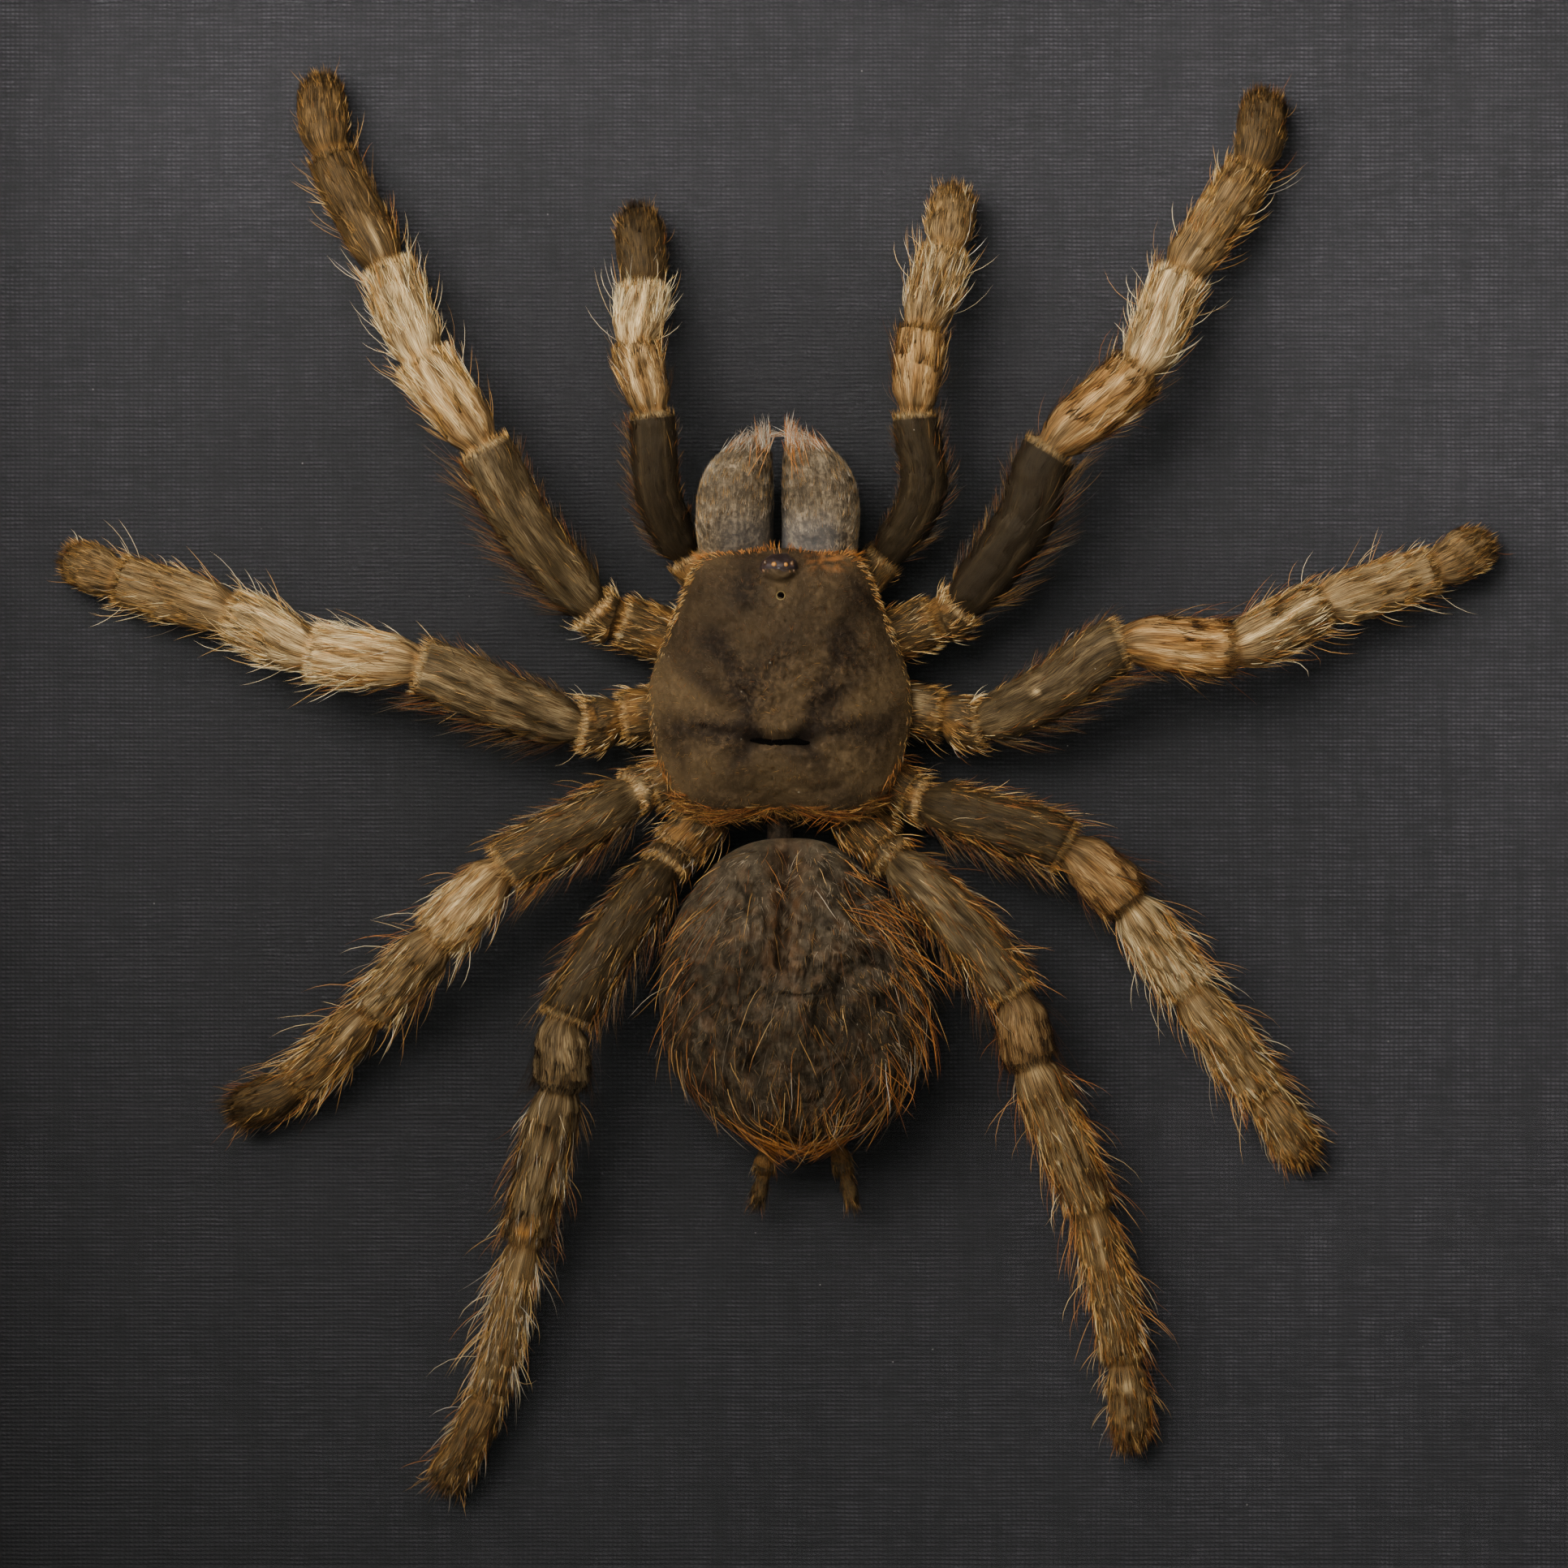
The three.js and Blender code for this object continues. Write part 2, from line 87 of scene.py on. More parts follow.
PALP_JOINTS = {
    "pedipalp_left": ((-3.8, 14.1), (-8.4, 19.6), (-10.8, 24.9), (-11.4, 31.9), (-12.7, 37.7),
                      (-12.1, 42.8), (-12.7, 49.8)),
    "pedipalp_right": ((3.2, 14.1), (8.6, 19.5), (12, 25.3), (11.3, 31.9), (12, 39.1),
                       (13.9, 45.9), (14.8, 51.5)),
}
PALP_HEIGHTS = (4.6, 4.9, 7.4, 8.2, 7, 5, 2.6)
PALP_SEGMENTS = (("coxa", 0, 1, 1.6, 1.8), ("femur", 1, 3, 1.75, 1.95), ("patella", 3, 4, 1.8, 2.1),
                 ("tibia", 4, 5, 2.05, 2.05), ("tarsus", 5, 6, 2.0, 1.95))

SPINNERET_JOINTS = {
    "spinneret_left": ((-1.3, -30.9), (-1.7, -33.4), (-2.3, -36.4)),
    "spinneret_right": ((4.5, -30.9), (5.2, -33.4), (6, -36.3)),
}
SPINNERET_HEIGHTS = (4.4, 4, 3.6)
SPINNERET_SEGMENTS = (("coxa", 0, 1, 0.95, 0.85), ("tarsus", 1, 2, 0.72, 0.5))


# ---------------- node wiring

def opaque(colour):
    """A colour of three shares with its alpha. A socket passes as it is."""
    return (*colour, 1) if isinstance(colour, tuple) else colour


class Wiring:
    """A hand for a node tree: add makes a node, and wires or sets each of its inputs."""

    def __init__(self, tree):
        self.tree = tree
        tree.nodes.clear()

    def add(self, kind, inputs=None, **settings):
        node = self.tree.nodes.new("ShaderNode" + kind)
        for name, value in settings.items():
            setattr(node, name, value)
        for name, value in (inputs or {}).items():
            if isinstance(value, bpy.types.NodeSocket):
                self.tree.links.new(value, node.inputs[name])
            else:
                node.inputs[name].default_value = value
        return node

    def math(self, operation, first, second=0.0, third=0.0, clamp=False):
        node = self.add("Math", {0: first, 1: second, 2: third}, operation=operation, use_clamp=clamp)
        return node.outputs[0]

    def line(self, value, slope, start):
        return self.math("MULTIPLY_ADD", value, slope, start)

    def sum_of(self, first, first_weight, second, second_weight):
        return self.line(first, first_weight, self.math("MULTIPLY", second, second_weight))

    def scaled(self, colour, factor):
        return self.add("VectorMath", {0: colour, "Scale": factor}, operation="SCALE").outputs[0]

    def mix(self, share, first, second):
        """A colour mix. The Mix node's colour sockets share their names, so places find them."""
        node = self.add("Mix", {0: share, 6: opaque(first), 7: opaque(second)}, data_type="RGBA")
        return node.outputs[2]

    def laid(self, mask, strength, colour, tint):
        """A colour with a tint laid over it, by a mask at some strength."""
        return self.mix(self.math("MULTIPLY", mask, strength), colour, tint)

    def between(self, value, low, high, start=0.0, end=1.0):
        node = self.add("MapRange", {"Value": value, "From Min": low, "From Max": high,
                                     "To Min": start, "To Max": end}, clamp=True)
        return node.outputs["Result"]

    def ramp(self, value, stops):
        node = self.add("ValToRGB", {"Fac": value})
        elements = node.color_ramp.elements
        while len(elements) < len(stops):
            elements.new(0.5)
        for element, (place, colour) in zip(elements, stops):
            element.position = place
            element.color = (*colour, 1)
        return node.outputs["Color"]

    def place(self):
        return self.add("TexCoord").outputs["Object"]

    def bumped(self, height, strength, distance):
        return self.add("Bump", {"Height": height, "Strength": strength, "Distance": distance}).outputs[0]


def new_group(name, inputs, outputs):
    """A shader node group with named sockets, its wiring, and its input and output nodes."""
    tree = bpy.data.node_groups.new(name, "ShaderNodeTree")
    for socket, kind in inputs:
        tree.interface.new_socket(name=socket, in_out="INPUT", socket_type="NodeSocket" + kind)
    for socket, kind in outputs:
        tree.interface.new_socket(name=socket, in_out="OUTPUT", socket_type="NodeSocket" + kind)
    wiring = Wiring(tree)
    entry = tree.nodes.new("NodeGroupInput").outputs
    leave = tree.nodes.new("NodeGroupOutput").inputs
    return tree, wiring, entry, leave


def mottle_group():
    """Soft blotches: Mask runs from 0 to 1 between Low and High of the noise."""
    tree, wiring, entry, leave = new_group(
        "mottle",
        (("Vector", "Vector"), ("Scale", "Float"), ("Low", "Float"), ("High", "Float")),
        (("Mask", "Float"), ("Height", "Float")))
    noise = wiring.add("TexNoise", {"Vector": entry["Vector"], "Scale": entry["Scale"],
                                    "Detail": 5.0, "Roughness": 0.6})
    mask = wiring.between(noise.outputs["Fac"], entry["Low"], entry["High"])
    tree.links.new(mask, leave["Mask"])
    tree.links.new(noise.outputs["Fac"], leave["Height"])
    return tree


def fibres_group():
    """Long fine streaks along the way the vector is least scaled."""
    tree, wiring, entry, leave = new_group(
        "fibres",
        (("Vector", "Vector"), ("Scale", "Vector"), ("Contrast", "Float")),
        (("Mask", "Float"), ("Height", "Float")))
    stretched = wiring.add("VectorMath", {0: entry["Vector"], 1: entry["Scale"]}, operation="MULTIPLY")
    noise = wiring.add("TexNoise", {"Vector": stretched.outputs["Vector"], "Scale": 1.0,
                                    "Detail": 6.0, "Roughness": 0.62})
    centred = wiring.math("SUBTRACT", noise.outputs["Fac"], 0.5)
    mask = wiring.math("MULTIPLY_ADD", centred, entry["Contrast"], 0.5, clamp=True)
    tree.links.new(mask, leave["Mask"])
    tree.links.new(noise.outputs["Fac"], leave["Height"])
    return tree


def dust_group():
    """Scattered specks: Mask is 1 on a speck of the given Size in a cell, in a Share of cells."""
    tree, wiring, entry, leave = new_group(
        "dust",
        (("Vector", "Vector"), ("Scale", "Float"), ("Size", "Float"), ("Share", "Float")),
        (("Mask", "Float"),))
    cells = wiring.add("TexVoronoi", {"Vector": entry["Vector"], "Scale": entry["Scale"]})
    luck = wiring.add("SeparateColor", {"Color": cells.outputs["Color"]}).outputs["Red"]
    chosen = wiring.math("LESS_THAN", luck, entry["Share"])
    near = wiring.between(cells.outputs["Distance"], entry["Size"], 0.0)
    tree.links.new(wiring.math("MULTIPLY", chosen, near), leave["Mask"])
    return tree


MOTTLE = mottle_group()
FIBRES = fibres_group()
DUST = dust_group()


def mottle(wiring, vector, scale, low, high):
    inputs = {"Vector": vector, "Scale": scale, "Low": low, "High": high}
    return wiring.add("Group", inputs, node_tree=MOTTLE).outputs


def fibres(wiring, vector, scale, contrast):
    inputs = {"Vector": vector, "Scale": scale, "Contrast": contrast}
    return wiring.add("Group", inputs, node_tree=FIBRES).outputs


def dusted(wiring, vector, colour, tint, scale, size, share, strength):
    """A colour under scattered specks of a tint."""
    inputs = {"Vector": vector, "Scale": scale, "Size": size, "Share": share}
    specks = wiring.add("Group", inputs, node_tree=DUST).outputs["Mask"]
    return wiring.laid(specks, strength, colour, tint)


def new_material(name):
    material = bpy.data.materials.new(name)
    material.use_nodes = True
    return material, Wiring(material.node_tree)


def close_material(wiring, shader):
    output = wiring.tree.nodes.new("ShaderNodeOutputMaterial")
    wiring.tree.links.new(shader, output.inputs["Surface"])


def finished(material, wiring, inputs):
    """The material, closed by a Principled shader with these inputs."""
    close_material(wiring, wiring.add("BsdfPrincipled", inputs).outputs[0])
    return material


# ---------------- frame finishes

def stained_wood(name, grain_axis):
    """Dark stained walnut with the grain along one axis, under a satin varnish."""
    material, wiring = new_material(name)
    place = wiring.place()

    def along_grain(across, along, contrast):
        scale = [across, across, across]
        scale[grain_axis] = along
        return fibres(wiring, place, scale, contrast)

    grain = along_grain(900.0, 22.0, 2.2)
    figure = along_grain(90.0, 7.0, 3.0)
    pores = along_grain(2600.0, 160.0, 6.0)
    tone = wiring.sum_of(grain["Mask"], 0.55, figure["Mask"], 0.45)
    colour = wiring.ramp(tone, ((0.2, (0.012, 0.006, 0.004)), (0.5, (0.04, 0.019, 0.011)),
                                (0.8, (0.105, 0.052, 0.028))))
    dark_pores = wiring.between(pores["Mask"], 0.25, 0.05)
    colour = wiring.laid(dark_pores, 0.7, colour, (0.008, 0.004, 0.003))
    wear = mottle(wiring, place, scale=60.0, low=0.35, high=0.7)
    height = wiring.math("SUBTRACT", grain["Height"], wiring.math("MULTIPLY", dark_pores, 0.6))
    return finished(material, wiring, {
        "Base Color": colour, "Roughness": wiring.between(wear["Mask"], 0.0, 1.0, 0.3, 0.46),
        "Coat Weight": 0.25, "Coat Roughness": 0.22, "Normal": wiring.bumped(height, 0.35, 0.0001)})


def picture_glass():
    """Clear coated glass that lets the lamps' light through."""
    material, wiring = new_material("picture_glass")
    haze = mottle(wiring, wiring.place(), scale=25.0, low=0.45, high=0.8)
    roughness = wiring.between(haze["Mask"], 0.0, 1.0, 0.0, 0.012)
    glass = wiring.add("BsdfPrincipled", {
        "Base Color": (0.992, 0.996, 0.992, 1), "Roughness": roughness, "IOR": 1.45,
        "Specular Tint": (0.10, 0.13, 0.12, 1), "Transmission Weight": 1.0})
    clear = wiring.add("BsdfTransparent")
    shadow = wiring.add("LightPath").outputs["Is Shadow Ray"]
    shader = wiring.add("MixShader", {0: shadow, 1: glass.outputs[0], 2: clear.outputs[0]})
    close_material(wiring, shader.outputs[0])
    return material


RIB_PITCH = 0.37 * MM
THREAD_PITCH = 0.41 * MM
# The painted shade round the specimen, as if its body shaded the card: its middle, where it ends and is
# full, and the colour left there.
PAINTED_SHADE_MIDDLE = (-0.006, CARD_FACE, CARD_MIDDLE + 0.004)
PAINTED_SHADE_END = 0.076
PAINTED_SHADE_FULL = 0.026
PAINTED_SHADE_LEFT = 0.28
# A painted fall of light: how far the card darkens towards its lower left corner, and the colour left
# there.
LIGHT_FALLOFF_REACH = 0.13
LIGHT_FALLOFF_LEFT = 0.45


def linen_dashes(wiring, place, axes):
    """How high a place stands in a linen weave: dashes in rows, in faint bands."""
    slow = wiring.add("TexNoise", {"Vector": place, "Scale": 260.0, "Detail": 2.0})
    wander = wiring.line(slow.outputs["Fac"], 3.2, -1.6)
    row_turns = wiring.line(axes["Z"], 2 * math.pi / RIB_PITCH, wander)
    thread_turns = wiring.line(axes["X"], 2 * math.pi / THREAD_PITCH, wander)
    row = wiring.line(wiring.math("SINE", row_turns), 0.5, 0.5)
    thread = wiring.line(wiring.math("SINE", thread_turns), 0.5, 0.5)
    patches = fibres(wiring, place, (620.0, 620.0, 1500.0), 3.6)
    bands = fibres(wiring, place, (620.0, 620.0, 90.0), 3.2)
    knot = wiring.math("MULTIPLY", row, wiring.line(thread, 0.60, 0.40))
    strength = wiring.math("MULTIPLY", wiring.line(patches["Mask"], 0.7, 0.45),
                           wiring.line(bands["Mask"], 0.8, 0.5))
    return wiring.math("MULTIPLY", knot, strength)


def linen_card():
    """Charcoal card embossed with a linen weave: broken pale dashes in rows, in faint bands. It has
    painted shade round the specimen, and a painted fall of light that darkens it towards the lower left
    corner."""
    material, wiring = new_material("linen_card")
    place = wiring.place()
    axes = wiring.add("SeparateXYZ", {"Vector": place}).outputs
    grit = mottle(wiring, place, scale=2600.0, low=0.3, high=0.72)
    dash = linen_dashes(wiring, place, axes)
    streaks = fibres(wiring, place, (70.0, 70.0, 2600.0), 4.0)
    pale = wiring.math("MULTIPLY", dash, wiring.line(grit["Mask"], 0.70, 0.55))
    pale = wiring.line(streaks["Mask"], 0.13, pale)
    pale = wiring.math("SUBTRACT", pale, 0.145, clamp=True)
    colour = wiring.mix(pale, (0.0098, 0.0093, 0.0110), (0.063, 0.059, 0.067))
    cloud = mottle(wiring, place, scale=38.0, low=0.3, high=0.7)
    colour = wiring.laid(cloud["Mask"], 0.15, colour, (0.027, 0.0255, 0.029))
    # Painted shade: the card darkens round the specimen, as if its body shaded it.
    reach = wiring.add("VectorMath", {0: place, 1: PAINTED_SHADE_MIDDLE}, operation="DISTANCE").outputs["Value"]
    ragged = wiring.line(cloud["Mask"], 0.012, reach)
    unshaded_share = wiring.between(ragged, PAINTED_SHADE_END, PAINTED_SHADE_FULL, 1.0, PAINTED_SHADE_LEFT)
    # Painted light: the card darkens towards its lower left corner, as a lamp's light falls off.
    lean = wiring.math("ADD", axes["X"], axes["Z"])
    falloff_share = wiring.between(lean, CARD_MIDDLE, CARD_MIDDLE - LIGHT_FALLOFF_REACH, 1.0, LIGHT_FALLOFF_LEFT)
    colour = wiring.scaled(colour, wiring.math("MULTIPLY", unshaded_share, falloff_share))
    colour = dusted(wiring, place, colour, (0.5, 0.48, 0.44), scale=330.0, size=0.028, share=0.28,
                    strength=0.8)
    height = wiring.math("ADD", dash, wiring.math("MULTIPLY", grit["Height"], 0.25))
    return finished(material, wiring, {
        "Base Color": colour, "Roughness": 0.72, "Specular IOR Level": 0.3,
        "Normal": wiring.bumped(height, 0.7, 0.00007)})


def paper(name, colour, fleck, fibre_colour):
    """Plain paper or foam: fine fibres and a faint cloud."""
    material, wiring = new_material(name)
    place = wiring.place()
    fibre = fibres(wiring, place, (900.0, 1800.0, 2400.0), 3.0)
    cloud = mottle(wiring, place, scale=70.0, low=0.3, high=0.75)
    mixed = wiring.laid(cloud["Mask"], 0.35, colour, fleck)
    mixed = wiring.mix(wiring.between(fibre["Mask"], 0.72, 0.95, 0.0, 0.5), mixed, fibre_colour)
    return finished(material, wiring, {
        "Base Color": mixed, "Roughness": 0.9, "Specular IOR Level": 0.25,
        "Normal": wiring.bumped(fibre["Height"], 0.4, 0.00006)})


SCREEN_PITCH = 1.1 * MM


def hardboard():
    """Brown pressed board: matted fibres with a screen's square print in them."""
    material, wiring = new_material("hardboard")
    place = wiring.place()
    long_fibre = fibres(wiring, place, (500.0, 900.0, 1500.0), 3.5)
    cross_fibre = fibres(wiring, place, (1600.0, 900.0, 480.0), 3.5)
    tone = wiring.sum_of(long_fibre["Mask"], 0.5, cross_fibre["Mask"], 0.5)
    colour = wiring.ramp(tone, ((0.2, (0.085, 0.045, 0.022)), (0.5, (0.18, 0.105, 0.055)),
                                (0.8, (0.3, 0.19, 0.105))))
    axes = wiring.add("SeparateXYZ", {"Vector": place}).outputs
    across = wiring.math("SINE", wiring.math("MULTIPLY", axes["X"], 2 * math.pi / SCREEN_PITCH))
    upwards = wiring.math("SINE", wiring.math("MULTIPLY", axes["Z"], 2 * math.pi / SCREEN_PITCH))
    print_height = wiring.math("MULTIPLY", across, upwards)
    colour = wiring.mix(wiring.between(print_height, -0.1, -0.9, 0.0, 0.35), colour,
                        (0.06, 0.033, 0.017))
    return finished(material, wiring, {
        "Base Color": colour, "Roughness": 0.82,
        "Normal": wiring.bumped(wiring.line(print_height, 0.3, tone), 0.6, 0.00015)})


def plated_metal(name, colour, tarnish, low_roughness, high_roughness):
    """Plated sheet metal with drawing lines and a little tarnish."""
    material, wiring = new_material(name)
    place = wiring.place()
    lines = fibres(wiring, place, (300.0, 4000.0, 6000.0), 3.0)
    stain = mottle(wiring, place, scale=420.0, low=0.45, high=0.75)
    return finished(material, wiring, {
        "Base Color": wiring.laid(stain["Mask"], 0.5, colour, tarnish), "Metallic": 1.0,
        "Roughness": wiring.between(lines["Mask"], 0.0, 1.0, low_roughness, high_roughness),
        "Normal": wiring.bumped(lines["Height"], 0.25, 0.00004)})


def rubber():
    """Black rubber with a grey bloom and dust."""
    material, wiring = new_material("bumper_rubber")
    place = wiring.place()
    bloom = mottle(wiring, place, scale=500.0, low=0.4, high=0.75)
    colour = wiring.laid(bloom["Mask"], 0.5, (0.012, 0.012, 0.0125), (0.05, 0.05, 0.052))
    colour = dusted(wiring, place, colour, (0.3, 0.29, 0.27), scale=1500.0, size=0.12, share=0.35,
                    strength=0.5)
    return finished(material, wiring, {
        "Base Color": colour, "Roughness": 0.62, "Normal": wiring.bumped(bloom["Height"], 0.3, 0.0001)})


def finish_kept_parts():
    """Finishes for the pieces whose solid model shows: the frame's and those under the spider."""
    wood_across = stained_wood("stained_wood_across", 0)
    wood_upright = stained_wood("stained_wood_upright", 2)
    zinc = plated_metal("zinc_steel", (0.62, 0.63, 0.64), (0.36, 0.35, 0.33), 0.28, 0.42)
    brass = plated_metal("hanger_brass", (0.72, 0.52, 0.24), (0.4, 0.27, 0.12), 0.24, 0.38)
    spacer = paper("spacer_card", (0.03, 0.029, 0.031), (0.04, 0.039, 0.041), (0.075, 0.073, 0.074))
    by_prefix = {
        "rail_bottom": wood_across, "rail_top": wood_across,
        "rail_left": wood_upright, "rail_right": wood_upright,
        "glass": picture_glass(), "spacer": spacer, "linen_card": linen_card(),
        "foam_board": paper("foam_core", (0.78, 0.77, 0.73), (0.68, 0.66, 0.61), (0.6, 0.58, 0.53)),
        "back_panel": hardboard(), "fixing_point": zinc, "hanger_nail": zinc, "hanger": brass,
        "bumper": rubber(), "sternum": SHADED_SKIN, "pedicel": SHADED_SKIN,
        "fang": glossy_horn("fang_horn", (0.004, 0.003, 0.003), (0.035, 0.014, 0.008), 0.18),
    }
    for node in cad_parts:
        for prefix in sorted(by_prefix, key=len, reverse=True):
            if node.startswith(prefix):
                bpy.data.objects[node].data.materials.clear()
                bpy.data.objects[node].data.materials.append(by_prefix[prefix])
                break


# ---------------- spider finishes

def marks_of(wiring):
    """The colour attribute of a skin: its pale, dark and warm shares."""
    attribute = wiring.add("Attribute", attribute_name="marks")
    parts = wiring.add("SeparateColor", {"Color": attribute.outputs["Color"]}).outputs
    return parts["Red"], parts["Green"], parts["Blue"]


def marked(wiring, colour, pale, dark, warm):
    """A colour with the skin's warm, dark and pale marks laid over it."""
    pale_share, dark_share, warm_share = marks_of(wiring)
    colour = wiring.mix(warm_share, colour, warm)
    colour = wiring.mix(dark_share, colour, dark)
    return wiring.mix(pale_share, colour, pale)


def limb_finish():
    """Dry limb skin: streaks along the limb from dark brown to straw, and the skin's marks."""
    material, wiring = new_material("leg_skin")
    uv = wiring.add("UVMap", uv_map="OFBake").outputs["UV"]
    streaks = fibres(wiring, uv, (120.0, 34.0, 1.0), 3.6)
    bands = fibres(wiring, uv, (26.0, 12.0, 1.0), 2.6)
    tone = wiring.sum_of(streaks["Mask"], 0.6, bands["Mask"], 0.4)
    colour = wiring.ramp(tone, ((0.22, (0.012, 0.007, 0.003)), (0.5, (0.066, 0.036, 0.012)),
                                (0.78, (0.24, 0.135, 0.044))))
    pale = wiring.ramp(streaks["Mask"], ((0.2, (0.30, 0.155, 0.045)), (0.8, (0.95, 0.72, 0.38))))
    olive = wiring.ramp(tone, ((0.2, (0.011, 0.0065, 0.003)), (0.5, (0.023, 0.0145, 0.0062)),
                               (0.8, (0.050, 0.033, 0.0135))))
    warm = wiring.ramp(tone, ((0.2, (0.10, 0.036, 0.008)), (0.8, (0.52, 0.24, 0.050))))
    colour = marked(wiring, colour, pale, olive, warm)
    deepest = wiring.between(marks_of(wiring)[1], 0.9, 1.0)
    colour = wiring.mix(deepest, colour, (0.0105, 0.0064, 0.0034))
    colour = dusted(wiring, wiring.place(), colour, (0.55, 0.52, 0.45), scale=900.0, size=0.07,
                    share=0.06, strength=0.7)
    return finished(material, wiring, {
        "Base Color": colour, "Roughness": wiring.between(streaks["Mask"], 0.0, 1.0, 0.62, 0.46),
        "Specular IOR Level": 0.15, "Specular Tint": (1.0, 0.84, 0.6, 1),
        "Normal": wiring.bumped(streaks["Height"], 0.5, 0.00012)})


def dried_skin(name, tones, pale, dark, warm, roughness, blotches, wrinkles, grains, grain_share):
    """Dry skin: blotches, wrinkles and a fine grain between three tones, and the skin's marks.
    The higher their scales are, the finer they are."""
    material, wiring = new_material(name)
    place = wiring.place()
    blotch = mottle(wiring, place, scale=blotches, low=0.3, high=0.72)
    fine = fibres(wiring, place, wrinkles, 3.2)
    grain = mottle(wiring, place, scale=grains, low=0.36, high=0.66)
    half_rest = (1 - grain_share) / 2
    tone = wiring.sum_of(fine["Mask"], half_rest, blotch["Mask"], half_rest)
    tone = wiring.line(grain["Mask"], grain_share, tone)
    colour = wiring.ramp(tone, tuple(zip((0.27, 0.5, 0.73), tones)))
    colour = marked(wiring, colour, pale, dark, warm)
    colour = dusted(wiring, place, colour, (0.5, 0.46, 0.36), scale=800.0, size=0.09, share=0.09,
                    strength=0.7)
    height = wiring.line(grain["Height"], 0.5, fine["Height"])
    return finished(material, wiring, {
        "Base Color": colour,
        "Roughness": wiring.between(blotch["Mask"], 0.0, 1.0, roughness - 0.1, roughness + 0.1),
        "Specular IOR Level": 0.16, "Specular Tint": (1.0, 0.8, 0.55, 1),
        "Normal": wiring.bumped(height, 0.8, 0.0002)})


# A hair's colour is its family and its tone, from the darkest at 0 to the palest at 1.
STRAW, ASH, RUST = 0, 1, 2
STRAW_TONES = (
    (0.0, (0.010, 0.005, 0.002)), (0.15, (0.030, 0.015, 0.005)), (0.3, (0.085, 0.043, 0.011)),
    (0.45, (0.22, 0.112, 0.026)), (0.6, (0.48, 0.25, 0.062)), (0.75, (0.80, 0.46, 0.135)),
    (0.88, (0.95, 0.66, 0.27)), (1.0, (0.97, 0.82, 0.50)))
ASH_TONES = (
    (0.0, (0.013, 0.010, 0.007)), (0.25, (0.048, 0.036, 0.023)), (0.5, (0.155, 0.118, 0.076)),
    (0.75, (0.42, 0.340, 0.235)), (1.0, (0.80, 0.72, 0.57)))
RUST_TONES = (
    (0.0, (0.018, 0.007, 0.004)), (0.3, (0.09, 0.028, 0.008)), (0.55, (0.27, 0.088, 0.018)),
    (0.8, (0.58, 0.22, 0.042)), (1.0, (0.85, 0.43, 0.12)))


def hair_finish():
    """Hair whose map holds the tone across, and the family and the way from root to tip upwards."""
    material, wiring = new_material("hair")
    uv = wiring.add("UVMap", uv_map="OFBake").outputs["UV"]
    axes = wiring.add("SeparateXYZ", {"Vector": uv}).outputs
    colour = wiring.ramp(axes["X"], STRAW_TONES)
    is_ash = wiring.math("GREATER_THAN", axes["Y"], ASH / 3)
    is_rust = wiring.math("GREATER_THAN", axes["Y"], RUST / 3)
    colour = wiring.mix(is_ash, colour, wiring.ramp(axes["X"], ASH_TONES))
    colour = wiring.mix(is_rust, colour, wiring.ramp(axes["X"], RUST_TONES))
    along = wiring.math("FRACT", wiring.math("MULTIPLY", axes["Y"], 3.0))
    # Each strand darkens towards its root: partly its own colour and partly painted shade deep in the
    # coat.
    return finished(material, wiring, {
        "Base Color": wiring.scaled(colour, wiring.between(along, 0.0, 0.45, 0.42, 1.0)),
        "Roughness": wiring.between(along, 0.0, 1.0, 0.55, 0.38), "Specular IOR Level": 0.22,
        "Specular Tint": (1.0, 0.82, 0.56, 1)})


def glossy_horn(name, deep, light, roughness, coat=0.4):
    """Hard smooth horn, such as a fang's or an eye's, or dull and bare with no coat."""
    material, wiring = new_material(name)
    cloud = mottle(wiring, wiring.place(), scale=1100.0, low=0.3, high=0.8)
    return finished(material, wiring, {
        "Base Color": wiring.mix(cloud["Mask"], deep, light), "Roughness": roughness,
        "Coat Weight": coat, "Coat Roughness": 0.1, "Specular IOR Level": coat,
        "Normal": wiring.bumped(cloud["Height"], 0.2, 0.00005)})


# ---------------- meshes from arrays

# Each skin's rings from end to end, and its sides round.
LEG_MESH = (150, 28)
PALP_MESH = (110, 28)
SPINNERET_MESH = (40, 24)
CARAPACE_MESH = (90, 200)
ABDOMEN_MESH = (100, 206)
JAW_MESH = (48, 44)


def to_world(points):
    """Places on the card, in millimetres, as metres of the frame's axes."""
    world = np.empty((len(points), 3))
    world[:, 0] = points[:, 0] * MM
    world[:, 1] = CARD_FACE - points[:, 2] * MM
    world[:, 2] = CARD_MIDDLE + points[:, 1] * MM
    return world


